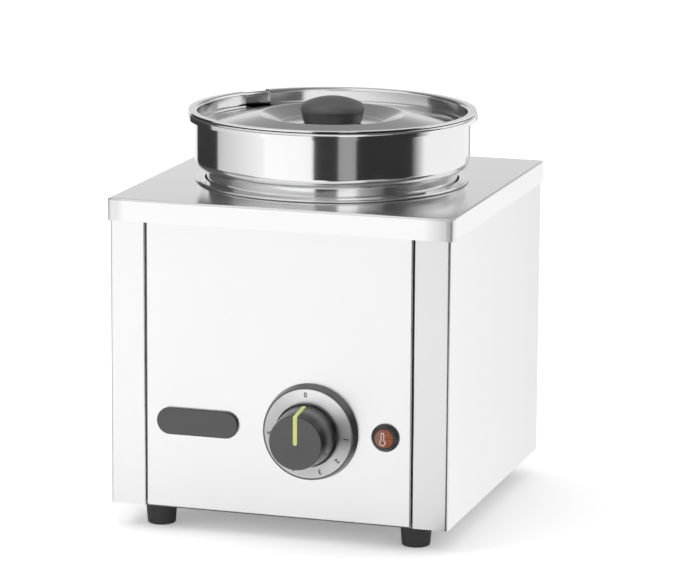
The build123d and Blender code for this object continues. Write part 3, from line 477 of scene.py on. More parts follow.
def cover_outline(side_steps=30):
    """Quarter of the plate's outline, turned four times: plan points and their outward normals."""
    half, corner = COVER_HALF - COVER_EDGE, COVER_CORNER - COVER_EDGE
    straight = half - corner
    slit = COVER_SEAM / 2 / COVER_CORNER
    fan = np.tan(np.linspace(0, np.arctan2(straight, half), side_steps)) * half
    bow = unit(np.pi / 4 + np.array([-BOW_HALF, -slit, slit, BOW_HALF]))
    first = np.stack([np.full(side_steps, half), fan], -1)
    quarter = np.vstack([first, straight + corner * bow, first[:0:-1, ::-1]])
    normal = np.vstack([
        np.tile([1.0, 0.0], (side_steps, 1)), bow, np.tile([0.0, 1.0], (side_steps - 1, 1))])
    turns = [np.array([[c, s], [-s, c]]) for c, s in ((1, 0), (0, 1), (-1, 0), (0, -1))]
    slits = side_steps + 1 + len(quarter) * np.arange(4)
    return np.vstack([quarter @ t for t in turns]), np.vstack([normal @ t for t in turns]), slits


def cover_shell():
    """Rows climb the skirt, turn over the fold on a quarter circle and run inwards to the hole."""
    outline, normal, slits = cover_outline()
    skirt = [DECK - COVER_SKIRT, DECK - 2 * COVER_EDGE, DECK - COVER_EDGE - HOLD]
    fold = np.linspace(np.pi / 2, 0, ARC_STEPS + 1)
    out = np.concatenate([np.full(len(skirt), COVER_EDGE), COVER_EDGE * np.sin(fold)])
    folded = outline + out[:, None, None] * normal
    hole = COVER_HOLE * outline / norm(outline, axis=1, keepdims=True)
    share = PLATE_SHARES[:, None, None]
    plate = outline * (1 - share) + hole * share
    height = np.concatenate([
        skirt, DECK - COVER_EDGE * (1 - np.cos(fold)), np.full(len(plate), DECK)])
    points, quads = grid_shell(lifted(np.concatenate([folded, plate]), height))
    row, column = np.divmod(quads[:, 0], len(outline))
    kept = ~((row == 0) & np.isin(column, slits))
    return thickened(points, quads[kept], COVER_WALL)


put_piece("cover_sheet", cover_shell(), "cover_steel", "top_cover")

# %% [markdown]
# ## Walls
# Each side is one sheet that wraps round on to the front and the back as a column, dips into a groove
# and ends in a rebate. The front and rear panels are shallow trays whose tabs lie on those rebates.
# Bevelled boxes would lack these folds. In plan each sheet is one folded path, so carrying it straight
# up gives all its bends at once. A flange at the foot takes the screws.

# %% Side sheets
BODY_HALF, SHEET, BEND, CORNER_BEND = 118.4, 0.8, 1.0, 2.0
BASE_Z, WALL_HEIGHT = 17.0, 209.1
GROOVE_OUTER, REBATE_Y, REBATE_END = 93.9, 110.4, 84.7
WALL_FLANGE, FLANGE_HALF = 14.0, 109.1


def walled(path, bends, height, flange_x, flange_y):
    """Plan path carried up to a height, so that the point at place p and height h is (p, h), and the
    flange at its foot, both with the sheet's wall."""
    plan = rounded_path(path, bends)
    flange = np.stack(np.meshgrid(np.sort(flange_x), np.sort(flange_y)), -1)
    grids = (lifted(np.stack([plan, plan]), (BASE_Z, BASE_Z + height)),
             lifted(flange, np.full(2, BASE_Z + SHEET)))
    return joined([thickened(*grid_shell(grid, closed=False), SHEET) for grid in grids])


def side_shell(hand):
    """Side sheet of the right (+1) or left (-1) hand: rebate, groove, column, side and back again."""
    half_path = np.array([
        (REBATE_END, -REBATE_Y), (GROOVE_OUTER, -REBATE_Y), (GROOVE_OUTER, -BODY_HALF),
        (BODY_HALF, -BODY_HALF)])
    whole = np.vstack([half_path, half_path[::-1] * (1, -1)]) * hand
    bends = (BEND, BEND, CORNER_BEND, CORNER_BEND, BEND, BEND)
    across = hand * (BODY_HALF - SHEET / 2 - np.array([WALL_FLANGE, 0]))
    return walled(whole, bends, WALL_HEIGHT, across, (-FLANGE_HALF, FLANGE_HALF))


for hand, side in ((-1, "left"), (1, "right")):
    put_piece(f"side_sheet_{side}", side_shell(hand), f"side_steel_{side}", f"side_panel_{side}")

# %% Front and rear sheets
PANEL_HALF, TAB_END, PANEL_GAP = 92.7, 86.5, 0.6
PANEL_FLANGE, PANEL_FLANGE_HALF = 24.0, 78.9


def panel_shell(facing):
    """Tray of the front (-1) or the rear (+1): tab, side of the tray, face, and back again."""
    half_path = np.array([(-TAB_END, -REBATE_Y), (-PANEL_HALF, -REBATE_Y), (-PANEL_HALF, -BODY_HALF)])
    whole = np.vstack([half_path, half_path[::-1] * (-1, 1)]) * -facing
    deep = facing * (BODY_HALF - SHEET / 2 - np.array([PANEL_FLANGE, 0]))
    return walled(whole, BEND, WALL_HEIGHT - PANEL_GAP, (-PANEL_FLANGE_HALF, PANEL_FLANGE_HALF), deep)


for facing, side in ((-1, "front"), (1, "rear")):
    put_piece(f"{side}_sheet", panel_shell(facing), "front_steel", f"{side}_panel")

# %% [markdown]
# ## Well and pot
# Both are deep-drawn bowls. One profile, spun round the axis, gives each: the well with its ledge and
# rolled lip, and the pot with its step, neck, round shoulder and turned-down rim. A profile with sharp
# corners and a bevel could do, but the rounded path puts a true arc of its own radius at every bend,
# so the polish runs over it without a break.

# %% Well and pot
BOWL_WALL, RIM = 0.8, 275.0
well_path = rounded_path(
    [(93.8, 227.05), (93.8, 228.7), (87.2, 229.4), (87.2, 221), (82, 221), (82, 101), (0, 101)],
    (1.5, 1.2, 1.2, 1.2, 12))
put_piece("well_bowl", thickened(*turned(well_path), BOWL_WALL), "well_steel", "water_well")

pot_path = rounded_path(
    [(0, 113), (78.5, 113), (78.5, 221), (86.3, 221), (86.3, 236.5), (94.6, 236.5),
     (94.6, RIM - BOWL_WALL), (98.6, RIM - BOWL_WALL), (98.6, 270)],
    (10, 0.95, 0.95, 1.5, 6, 2, 1.8))
put_piece("pot_bowl", thickened(*turned(pot_path, steps=256), BOWL_WALL), "pot_steel", "food_pot", "pot")

# %% [markdown]
# ## Lid
# The lid is one pressing: finger dish, crest, cone, sunk ring, wall and flange, with a notch for the
# ladle. It is turned like the pot. A boolean could cut the notch, but it would leave slivers that
# mirror badly. So the grid gives way near it: its columns close up to run parallel with the notch's
# sides, and one row bends to follow its round-cornered inner edge. The quads beyond are left out.

# %% Lid
NOTCH_ANGLE, FADE_ANGLE = np.radians([142.3, 26])
NOTCH_HALF, NOTCH_DEPTH, NOTCH_ROUND = 10.4, 14.5, 4.0
NOTCH_STEPS, CORNER_TURNS = [0.0, 2.0, 4.0], np.radians([0, 20, 40, 55, 70, 90])
LID_RADIUS, LID_REF = 98.7, 92.0
ZONE_START, ZONE_END, RING_FOOT, ZONE_ROWS = 78.0, 91.5, 85.7, 9
lid_path = rounded_path(
    [(0, 265.4), (36, 265.4), (49, 271.9), (RING_FOOT, 265), (93.2, 265), (93.2, RIM), (LID_RADIUS, RIM)],
    (7, 4.5, 3, 1.4, 1.4))


def lid_columns(rest_steps=220):
    """Column angles from the notch's middle, set by even steps across the notch and its corners."""
    across = np.concatenate([NOTCH_STEPS, NOTCH_HALF - NOTCH_ROUND * (1 - np.sin(CORNER_TURNS))])
    notch = np.arcsin(np.concatenate([-across[:0:-1], across]) / LID_REF)
    rest = np.linspace(notch[-1], 2 * np.pi + notch[0], rest_steps)[1:-1]
    rest[rest > np.pi] -= 2 * np.pi
    return np.concatenate([notch, rest]), len(notch)


def lid_shell():
    """Rows follow the profile. In the zone that the notch reaches, radius is the parameter, the
    height is read from the profile, and each column's edge row stands on the notch's outline."""
    column, notch_count = lid_columns()
    fade = np.clip((FADE_ANGLE - np.abs(column)) / (FADE_ANGLE - abs(column[0])), 0, 1)
    fade = fade * fade * (3 - 2 * fade)
    across = np.minimum(np.abs(LID_REF * np.sin(column)), NOTCH_HALF)
    into_corner = np.maximum(across - (NOTCH_HALF - NOTCH_ROUND), 0)
    bow = NOTCH_ROUND - np.sqrt(NOTCH_ROUND ** 2 - into_corner ** 2)
    outline = np.hypot(LID_RADIUS - NOTCH_DEPTH + bow, across)
    edge = np.where(np.arange(len(column)) < notch_count, outline,
                    RING_FOOT + (outline[0] - RING_FOOT) * fade)
    share = np.linspace(0, 1, ZONE_ROWS)[:, None]
    zone = np.vstack([ZONE_START + share * (edge - ZONE_START), edge + share[1:] * (ZONE_END - edge)])
    zone_end = np.argmax(lid_path[:, 0] >= ZONE_END)
    inner, outer = lid_path[:np.argmax(lid_path[:, 0] >= ZONE_START)], lid_path[zone_end:]
    wide = np.ones(len(column))
    radius = np.vstack([inner[:, :1] * wide, zone, outer[:, :1] * wide])
    zone_z = np.interp(zone, *lid_path[:zone_end + 1].T)
    height = np.vstack([inner[:, 1:] * wide, zone_z, outer[:, 1:] * wide])
    parallel = np.arcsin(np.clip(LID_REF * np.sin(column) / np.maximum(radius, ZONE_START), -1, 1))
    angle = NOTCH_ANGLE + np.where(fade > 0, column + fade * (parallel - column), column)
    points, quads = grid_shell(polar(radius, angle, height))
    row, place = np.divmod(quads[:, 0], len(column))
    edge_row = len(inner) + ZONE_ROWS - 1
    kept = ~((row >= edge_row) & (place < notch_count - 1))
    return thickened(points, quads[kept], BOWL_WALL)


put_piece("lid_pressing", lid_shell(), "lid_steel", "lid_shell", "lid")

# %% [markdown]
# ## Lid knob
# A moulded knob: a flank that widens upwards, a crisp line where the two mould halves meet, and a
# low dome with a rounded brow. A scaled sphere would lack the brow. Here dome and brow are two circles
# that touch, so the centre of the small one is found first: it lies on a circle about the large one's
# centre with the difference of the radii.

# %% Lid knob
DISH_TOP, FLANK_TOP, KNOB_TOP = 266.2, 275.2, 284.4
KNOB_RADIUS, KNOB_BASE, BROW_ROUND, BROW_CORNER = 22.0, 20.0, 4.5, 278.6
SEAM_DEPTH, SEAM_HALF, SEAM_EDGE, FOOT_ROUND = 0.3, 0.15, 0.05, 2.5


def lid_knob_profile(brow_steps=14, dome_steps=20):
    """Foot, flank, seam, brow arc and dome arc. The dome's radius follows from its width and height."""
    rise = KNOB_TOP - BROW_CORNER
    dome = (KNOB_RADIUS ** 2 + rise ** 2) / (2 * rise)
    dome_z = KNOB_TOP - dome
    brow_r = KNOB_RADIUS - BROW_ROUND
    brow_z = dome_z + np.sqrt((dome - BROW_ROUND) ** 2 - brow_r ** 2)
    meet = np.arctan2(brow_z - dome_z, brow_r)
    sunk = KNOB_RADIUS - SEAM_DEPTH
    foot = rounded_path([(0, DISH_TOP), (KNOB_BASE, DISH_TOP), (sunk, FLANK_TOP - SEAM_HALF)], FOOT_ROUND)
    seam = [(sunk, FLANK_TOP), (KNOB_RADIUS - SEAM_EDGE, FLANK_TOP), (KNOB_RADIUS, FLANK_TOP + SEAM_EDGE)]
    brow = (brow_r, brow_z) + BROW_ROUND * unit(np.linspace(0, meet, brow_steps))
    top = (0, dome_z) + dome * unit(np.linspace(meet, np.pi / 2, dome_steps)[1:])
    return np.vstack([foot, seam, brow, top])


put_piece("lid_grip", turned(lid_knob_profile(), steps=128), "lid_knob_plastic", "lid_knob", "lid")

# %% [markdown]
# ## Dial
# A dark moulded bezel carries a spun metal ring with printed numbers, and the knob turns in front of
# it. All of these are turned about an axis that stands straight out of the front panel. Their
# sections are drawn as radius and reach, spun about Z and then seated on the panel, which is easier
# to read than a section drawn in its place.

# %% Bezel
CONTROL_Z = 77.5
DIAL_X, LAMP_X, BADGE_X = 23.4, 75.1, -56.1
DIAL_FACE, DIAL_BED, DIAL_RIM = 7.0, 6.5, 30.42


def on_front(shell, x, reach=0.0):
    """Shell seated on the front panel at a place along it, at the height of the controls."""
    return seated(shell, (x, -BODY_HALF - reach, CONTROL_Z), (0, -1, 0))


bezel_path = rounded_path(
    [(32, 0), (33, 0), (31.4, DIAL_FACE), (DIAL_RIM, DIAL_FACE), (DIAL_RIM, DIAL_BED), (12, DIAL_BED),
     (12, 5), (29.4, 5), (31, 0), (32, 0)],
    (0.2, 0.6, 0.12, 0.1, 0.2, 0.2, 0.3, 0.3), steps=5)
put_piece("dial_collar", on_front(turned(bezel_path), DIAL_X), "bezel_plastic", "dial_bezel")

# %% [markdown]
# The ring is metal that was brushed while it spun. Rings in the bump alone would look flat, so the
# shader's tangent runs round the axis, and highlights fan out as on a record. A painted highlight and
# shade follow the same fan: the colour is a ramp over the angle atan2(z, x) round the dial's centre,
# lightest near the top and darkest on the right.

# %% Dial ring
RING_SCALE, RING_LEVEL, RING_COLOUR = 4000, 0.6, (0.98, 0.98, 0.985)
RING_PAINTED_FAN = {-90: 0.7, -45: 0.8, -22: 0.55, -5: 0.22, 20: 0.36, 45: 0.9, 60: 1.0, 95: 1.0, 140: 0.68}

tree, shader = new_finish("dial_metal", RING_COLOUR, roughness=0.3, sockets={
    "Metallic": 0.25, "Anisotropic": 0.75})
centre = (-DIAL_X * MM, BODY_HALF * MM, -CONTROL_Z * MM)
moved = add_node(tree, "Mapping", "Vector", {"Vector": object_place(tree), "Location": centre})
radius = add_node(tree, "VectorMath", "Value", {0: moved}, operation="LENGTH")
ring_noise = add_node(tree, "TexNoise", "Fac", {"W": radius, "Scale": RING_SCALE}, noise_dimensions="1D")
drive(shader, ring_noise, roughness=(0.26, 0.38), depth=0.0004)
# painted highlight and shade: the ring's colour is set by its angle round the dial's centre
parts = add_node(tree, "SeparateXYZ", "X", {"Vector": moved}).node.outputs
angle = maths(tree, "ARCTAN2", parts["Z"], parts["X"])
painted_fan = add_node(tree, "ValToRGB", "Color", {"Fac": ranged(tree, angle, -np.pi, np.pi)})
stops = painted_fan.node.color_ramp.elements
for end in stops:
    end.color = (*darker(RING_COLOUR, RING_LEVEL), 1)
for degrees, level in RING_PAINTED_FAN.items():
    stops.new(degrees / 360 + 0.5).color = (*darker(RING_COLOUR, level), 1)
along = add_node(tree, "Tangent", "Tangent", direction_type="RADIAL", axis="Y")
fill(shader, {"Base Color": painted_fan, "Tangent": along})

ring_path = rounded_path(
    [(20, DIAL_BED), (30.3, DIAL_BED), (30.3, DIAL_FACE), (14, DIAL_FACE), (14, DIAL_BED), (20, DIAL_BED)],
    0.08, steps=3)
put_piece("dial_ring", on_front(turned(ring_path), DIAL_X), "dial_metal", "dial_plate")

# %% [markdown]
# The numbers are plain figures printed on the ring, with their tops outwards. Blender's own font
# gives their shapes. Text objects could be turned into place, but then their place wouldn't be in the
# mesh. So each figure is made a mesh first, and then its points are turned to its angle.

# %% Dial numbers
FIGURES = {"0": -3.8, "1": 93.6, "2": 129.4, "3": 161.4, "4": 200.5, "5": 267.5}
FIGURE_RADIUS, FIGURE_SIZE, FIGURE_WEIGHT, INK_HEIGHT = 26.6, 4.6, 0.12, 0.03
CURVE_STEPS = 6


def figure_shell(figure, clockwise):
    """Mesh of one figure, centred, moved out to the ring and turned clockwise by its angle."""
    curve = bpy.data.curves.new("figure", "FONT")
    curve.body, curve.size, curve.extrude = figure, FIGURE_SIZE, INK_HEIGHT / 2
    curve.resolution_u, curve.offset = CURVE_STEPS, FIGURE_WEIGHT
    holder = bpy.data.objects.new("figure", curve)
    scene.collection.objects.link(holder)
    mesh = bpy.data.meshes.new_from_object(holder.evaluated_get(bpy.context.evaluated_depsgraph_get()))
    bpy.data.objects.remove(holder)
    bpy.data.curves.remove(curve)
    mesh.calc_loop_triangles()
    points = np.array([corner.co for corner in mesh.vertices])
    faces = np.array([triangle.vertices for triangle in mesh.loop_triangles])
    bpy.data.meshes.remove(mesh)
    points[:, :2] -= (points[:, :2].max(0) + points[:, :2].min(0)) / 2
    points[:, 1] += FIGURE_RADIUS
    c, s = unit(np.radians(-clockwise))
    return points @ np.array([[c, s, 0], [-s, c, 0], [0, 0, 1]]), faces


bpy.context.view_layer.update()
figures = joined([figure_shell(figure, turn) for figure, turn in FIGURES.items()])
figures = on_front(figures, DIAL_X, DIAL_FACE + INK_HEIGHT / 2)
put_piece("dial_numbers", figures, "print_ink")

# %% [markdown]
# The knob is a hollow moulding on the thermostat's shaft. Its pointer is a strip let into the face
# that folds over the edge and runs down the side. A bent box would kink there. The strip is a grid
# instead: one parameter runs along the folded path, the other across, and the width follows half
# circles at both ends.

# %% Knob and pointer
KNOB_REACH, KNOB_FACE, KNOB_WAIST = 34.5, 18.1, 20.6
knob_path = rounded_path(
    [(0, 24.2), (3.05, 24.2), (3.05, 10.5), (6.5, 10.5), (6.5, 31.5), (15.9, 31.5), (19.5, 8), (21.7, 8),
     (21.7, 11.5), (KNOB_WAIST, 12.5), (KNOB_FACE, KNOB_REACH), (0, KNOB_REACH)],
    (0.1, 0.2, 0.3, 0.8, 0.8, 0.3, 0.3, 0.3, 0.6, 1))
put_piece("knob_cap", on_front(turned(knob_path), DIAL_X), "knob_plastic", "control_knob", "control")

POINTER_HALF, POINTER_PROUD, POINTER_WALL = 1.4, 0.15, 0.9
POINTER_FOOT, POINTER_ROUND = 14.5, 1.15


def pointer_shell(across_steps=9, end_steps=9, corner_steps=10):
    """Strip: the path runs over the face and down the side; its half width is a circle's height
    near each end and even between."""
    corner = rounded_path(
        np.array([(-POINTER_HALF, KNOB_REACH), (KNOB_FACE, KNOB_REACH), (KNOB_WAIST, POINTER_FOOT)])
        + POINTER_PROUD * np.array([(0, 1), (1, 1), (1, 0)]), POINTER_ROUND, corner_steps)
    tip = POINTER_HALF * (1 - np.cos(np.linspace(0, np.pi / 2, end_steps)))
    length = np.concatenate([[0], np.cumsum(norm(np.diff(corner, axis=0), axis=1))])
    along = np.unique(np.concatenate([tip, length[1:-1], length[-1] - tip]))
    out, reach = [np.interp(along, length, column)[:, None] for column in corner.T]
    short = np.clip(1 - np.minimum(along, length[-1] - along) / POINTER_HALF, 0, 1)
    half = POINTER_HALF * np.sqrt(1 - short ** 2)[:, None]
    points = np.stack(np.broadcast_arrays(half * np.linspace(-1, 1, across_steps), out, reach), -1)
    return thickened(*grid_shell(points, closed=False), POINTER_WALL)


put_piece("knob_mark", on_front(pointer_shell(), DIAL_X), "pointer_plastic", "knob_pointer", "control")

# %% [markdown]
# ## Pilot lamp
# A small dark collar holds an amber window. The window's back is moulded in tiny prisms, which show
# as bright and dark cells. To model them would take thousands of faces, so the window's finish bends
# the light with a cell pattern and mixes two ambers. A painted highlight makes its left side paler.

# %% Pilot lamp
WINDOW_RADIUS, WINDOW_FLOOR, CELL_SCALE = 6.5, 1.3, 900
DEEP_AMBER, LIGHT_AMBER, AMBER_HIGHLIGHT = (0.06, 0.01, 0.003), (0.6, 0.12, 0.013), (0.36, 0.21, 0.165)
HIGHLIGHT_START, HIGHLIGHT_END = LAMP_X + 3, LAMP_X - 9

tree, shader = new_finish("lamp_amber", DEEP_AMBER, roughness=0.22, sockets={
    "Transmission Weight": 0.25, "Coat Weight": 0.15})
cells = add_node(tree, "TexVoronoi", "Distance", {"Vector": object_place(tree), "Scale": CELL_SCALE})
drive(shader, cells, roughness=(0.16, 0.34), depth=0.12)
fill(shader, {"Base Color": blended(tree, cells, (*DEEP_AMBER, 1), (*LIGHT_AMBER, 1))})
# painted highlight: the window turns paler towards the left
second_zone("lamp_amber", {"X": (HIGHLIGHT_START, HIGHLIGHT_END)}, AMBER_HIGHLIGHT, roughness=0.3)

collar_path = rounded_path(
    [(0, -20), (5.9, -20), (5.9, 0), (9.5, 0), (9.5, 1.3), (7.7, 4), (6.62, 4), (6.62, WINDOW_FLOOR),
     (4.6, WINDOW_FLOOR), (4.6, -18.5), (0, -18.5)],
    (0.4, 0.2, 0.2, 0.5, 0.4, 0.2, 0.1, 0.2, 0.3), steps=5)
window_path = rounded_path(
    [(0, WINDOW_FLOOR), (WINDOW_RADIUS, WINDOW_FLOOR), (WINDOW_RADIUS, 4.15), (0, 4.5)], (0.2, 0.5))
put_piece("lamp_collar", on_front(turned(collar_path, steps=96), LAMP_X), "lamp_plastic", "lamp_bezel")
put_piece("lamp_window", on_front(turned(window_path, steps=96), LAMP_X), "lamp_amber", "lamp_lens")

# %% [markdown]
# The sign on the window is a plain thermometer, printed as one line. A curve with a bevel could draw
# it, but a flat ribbon along a closed outline lies on the window as ink does.

# %% Lamp sign
BULB_RADIUS, BULB_Y, STEM_HALF, STEM_TOP, SIGN_X = 1.85, -2.6, 0.95, 3.1, -0.8
RIBBON_HALF, RIBBON_WALL, SIGN_HEIGHT, WINDOW_FALL = 0.27, 0.15, 4.53, 0.35


def sign_shell(bulb_steps=28, cap_steps=12):
    """Ribbon along a thermometer's outline: an open circle for the bulb and a round-topped stem.
    Its height falls with the distance from the middle, as the window's face does."""
    gap = np.arcsin(STEM_HALF / BULB_RADIUS)
    stem_foot = BULB_Y + np.sqrt(BULB_RADIUS ** 2 - STEM_HALF ** 2)
    side = np.linspace(stem_foot, STEM_TOP, cap_steps)[1:-1]
    path = np.vstack([
        (0, BULB_Y) + BULB_RADIUS * unit(np.linspace(np.pi / 2 - gap, -3 * np.pi / 2 + gap, bulb_steps)),
        np.stack([np.full(len(side), -STEM_HALF), side], -1),
        (0, STEM_TOP) + STEM_HALF * unit(np.linspace(np.pi, 0, cap_steps)),
        np.stack([np.full(len(side), STEM_HALF), side[::-1]], -1)])
    run = np.roll(path, -1, axis=0) - np.roll(path, 1, axis=0)
    run /= norm(run, axis=1, keepdims=True)
    out = np.stack([run[:, 1], -run[:, 0]], -1)
    width = np.array([-RIBBON_HALF, RIBBON_HALF])[:, None, None]
    ribbon = path - width * out + (SIGN_X, 0.0)
    away = norm(ribbon, axis=-1, keepdims=True) / WINDOW_RADIUS
    points = np.concatenate([ribbon, SIGN_HEIGHT - WINDOW_FALL * away], -1)
    return thickened(*grid_shell(points), RIBBON_WALL)


put_piece("lamp_sign", on_front(sign_shell(), LAMP_X), "sign_ink")

# %% [markdown]
# ## Badge plate
# The plate is left bare. It is round-ended with a soft edge and a slightly sunk face. A bevelled oblong
# would do, but rings of one outline keep the ends round: each ring is moved inwards and away from the
# panel along a quarter circle, until the last one closes on the middle line.

# %% Badge plate
BADGE_HALF, BADGE_ROUND, BADGE_HEIGHT, BADGE_EDGE = 28.85, 9.25, 2.6, 1.1
BADGE_DIP, BADGE_BORDER, BORDER_STEPS = 0.12, 1.9, np.array([0, 0.3, 0.36])


def badge_shell(end_steps=33):
    """Rings of a round-ended outline: end circles of radius R minus the inset, at two centres."""
    bow = unit(np.linspace(-np.pi / 2, np.pi / 2, end_steps))
    out = np.vstack([bow, -bow])
    centre = np.repeat([[BADGE_HALF - BADGE_ROUND, 0], [BADGE_ROUND - BADGE_HALF, 0]], end_steps, axis=0)
    fold = np.linspace(0, np.pi / 2, ARC_STEPS + 1)
    sunk = BADGE_HEIGHT - BADGE_DIP
    inset = np.concatenate([
        [BADGE_ROUND, 0, 0], BADGE_EDGE * (1 - np.cos(fold)), BADGE_BORDER + BORDER_STEPS, [BADGE_ROUND]])
    height = np.concatenate([
        [0, 0, BADGE_HEIGHT - BADGE_EDGE - HOLD], BADGE_HEIGHT - BADGE_EDGE * (1 - np.sin(fold)),
        [BADGE_HEIGHT, sunk, sunk, sunk]])
    return grid_shell(lifted(centre + (BADGE_ROUND - inset)[:, None, None] * out, height))


put_piece("badge_blank", on_front(badge_shell(), BADGE_X), "badge_plastic", "badge_plate")

# %% [markdown]
# ## Feet and screws
# Four rubber feet, slightly tapered, have a recess that hides the screw. A cylinder with a boolean
# would do, but one section that is spun gives the soft edges too, and it serves all four.

# %% Feet
FOOT_X, FOOT_Y, FOOT_RECESS = 90.4, 96.0, 8.0
foot_path = rounded_path(
    [(7, 0), (9.5, 0), (11, 17.8), (2.2, 17.8), (2.2, FOOT_RECESS), (5, FOOT_RECESS), (5, 0), (7, 0)],
    (1.2, 0.3, 0.2, 0.2, 0.4, 0.6), steps=6)
for end, y in (("front", -FOOT_Y), ("rear", FOOT_Y)):
    for side, x in (("left", -FOOT_X), ("right", FOOT_X)):
        foot = seated(turned(foot_path, steps=96), (x, y, 0), (0, 0, 1))
        put_piece(f"rubber_foot_{end}_{side}", foot, "foot_rubber", f"foot_{end}_{side}")

# %% [markdown]
# The screws have a low dome with a cross recess. The cross could be painted or cut, but on a polar
# grid the head's height is simply the dome less the cross, so the recess is real geometry.

# %% Screws
HEAD_EDGE, HEAD_MIDDLE, DOME_FALL = 0.25, 0.06, 0.35
CROSS_ARM, CROSS_REACH, CROSS_DEPTH, CROSS_SLOPE = 0.17, 0.62, 0.55, 0.3
SIDE_FLANGE_SCREW, PANEL_FLANGE_SCREW = (108.9, 70), (50, 98.9)


def screw_shell(head, height, shank, reach, rows=22, steps=48):
    """Cross-head screw: dome height falls with the square of the radius; the cross is cut where
    the lesser of |x| and |y| is small and the greater is inside the bit's reach."""
    radius = np.append(np.linspace(1, HEAD_MIDDLE, rows), 0.0)[:, None] * (head - HEAD_EDGE)
    angle = full_turn(steps)
    x, y = radius * np.cos(angle), radius * np.sin(angle)
    small, large = np.minimum(abs(x), abs(y)), np.maximum(abs(x), abs(y))
    arm, bit = CROSS_ARM * head, CROSS_REACH * head
    cross = (np.clip((arm - small) / (CROSS_SLOPE * arm), 0, 1)
             * np.clip((bit - large) / (CROSS_SLOPE * bit), 0, 1))
    dome = height * (1 - DOME_FALL * (radius / head) ** 2) - CROSS_DEPTH * height * cross
    side = np.array([(0, -reach), (shank, -reach), (shank, 0), (head, 0), (head, height / 2)])
    return grid_shell(np.concatenate([polar(side[:, :1], angle, side[:, 1:]), np.stack([x, y, dome], -1)]))


def both_hands(x, y, z):
    """The four places that mirror each other in both axes."""
    return [(x * hand, y * end, z) for hand in (-1, 1) for end in (-1, 1)]


cover_screw_x = (GROOVE_OUTER + BODY_HALF) / 2
cover_places = [(x, COVER_HALF, DECK - COVER_SKIRT / 2) for x in (-cover_screw_x, cover_screw_x)]
base_places = both_hands(*SIDE_FLANGE_SCREW, BASE_Z) + both_hands(*PANEL_FLANGE_SCREW, BASE_Z)
foot_places = both_hands(FOOT_X, FOOT_Y, FOOT_RECESS)
for name, sizes, places, facing, node in (
    ("rear_screws", (3, 2, 1.6, 5), cover_places, (0, 1, 0), "cover_screws"),
    ("under_screws", (3, 2, 1.6, 4.3), base_places, (0, 0, -1), "base_screws"),
    ("foot_bolts", (3.8, 2.6, 2, 16.8), foot_places, (0, 0, -1), "foot_screws"),
):
    screws = joined([seated(screw_shell(*sizes), place, facing) for place in places])
    put_piece(name, screws, "fastener_steel", node)

# %% [markdown]
# ## Cable gland
# The dome nut at the rear is a hexagon that narrows to a round mouth. A dome cut by a hexagon would
# have knife edges. Here the radius at any angle and height is the lesser of the turned dome and the
# hexagon, blended a little so that the edges are as soft as moulded ones.

# %% Gland nut
GLAND_X, GLAND_Z = -62.0, 51.0
NUT_RADIUS, NUT_FOOT, NUT_SOFT, NUT_MIDDLE = 13.6, 6.1, 0.12, 10.0


def gland_nut_shell(flat_rows=6, steps=240):
    """Radius: soft minimum of the dome's profile a and the hexagon's distance b at that angle,
    -s log(exp(-a / s) + exp(-b / s)), with both counted from a middle radius."""
    outer = rounded_path(
        [(NUT_RADIUS, NUT_FOOT), (NUT_RADIUS, 18.85), (8, 31.5), (6.75, 31.5)], (6, 0.8), steps=10)
    rows = np.vstack([np.linspace(outer[0], outer[1], flat_rows), outer[2:]])
    inner = np.array([(5.5, 31.2), (5.5, 21.5), (9.05, 19), (9.05, NUT_FOOT)])
    angle = full_turn(steps)
    sixth = np.pi / 6
    hexagon = NUT_RADIUS * np.cos(sixth) / np.cos((angle + sixth) % (2 * sixth) - sixth)
    near = np.exp((NUT_MIDDLE - rows[:, :1]) / NUT_SOFT) + np.exp((NUT_MIDDLE - hexagon) / NUT_SOFT)
    mixed = NUT_MIDDLE - NUT_SOFT * np.log(near)
    radius = np.vstack([mixed, inner[:, :1] * np.ones(steps), mixed[:1]])
    height = np.concatenate([rows[:, 1], inner[:, 1], rows[:1, 1]])[:, None]
    return grid_shell(polar(radius, angle, height))


dome_nut = seated(gland_nut_shell(), (GLAND_X, BODY_HALF, GLAND_Z), (0, 1, 0))
put_piece("gland_dome_nut", dome_nut, "gland_plastic", "gland_nut")

# %% [markdown]
# ## Finishes of the pieces that stay as CAD
# The parts inside the cabinet could be made anew too, but their CAD shapes are right as they are, so
# they stay. Each gets the finish of what it is made of.

# %% Finishes by node
node_finish = {
    "base_steel": ["base_plate"],
    "fastener_steel": ["panel_screws", "block_screws", "foot_nuts", "lid_washer", "lid_screw", "lamp_nut",
                       "thermostat_screws", "heater_stud", "heater_nut", "heater_clamp", "control_shaft",
                       "bulb_clips"],
    "heater_steel": ["heating_element"],
    "copper": ["capillary_tube", "sensing_bulb"],
    "brass": ["earth_stud", "earth_nuts", "terminal_screws"],
    "seal_rubber": ["well_seal", "gland_seal"],
    "switch_plastic": ["thermostat_body", "thermal_cutout"],
    "block_plastic": ["terminal_block"],
    "gland_plastic": ["cable_gland", "gland_locknut"],
    "lamp_amber": ["lamp_bulb"],
}
for look, names in node_finish.items():
    for name in names:
        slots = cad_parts[name].data.materials
        slots.clear()
        slots.append(finish[look])
bare = [name for name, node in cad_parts.items()
        if not node.hide_render and name not in sum(node_finish.values(), [])]
print("nodes with a finish:", sum(map(len, node_finish.values())), "without:", bare)

# %% [markdown]
# ## Studio
# The picture is taken on white paper. More light would whiten it, but also bleach the object. So the
# floor tells rays apart: it is white to the camera and to reflections, and a little dimmer as a
# source of light. A faint glow that only the camera sees keeps its shadow pale.

# %% Floor
FLOOR_HALF, FLOOR_SCALE = 8000, 3.0
PAPER, CAMERA_GLOW = 0.86, 0.23


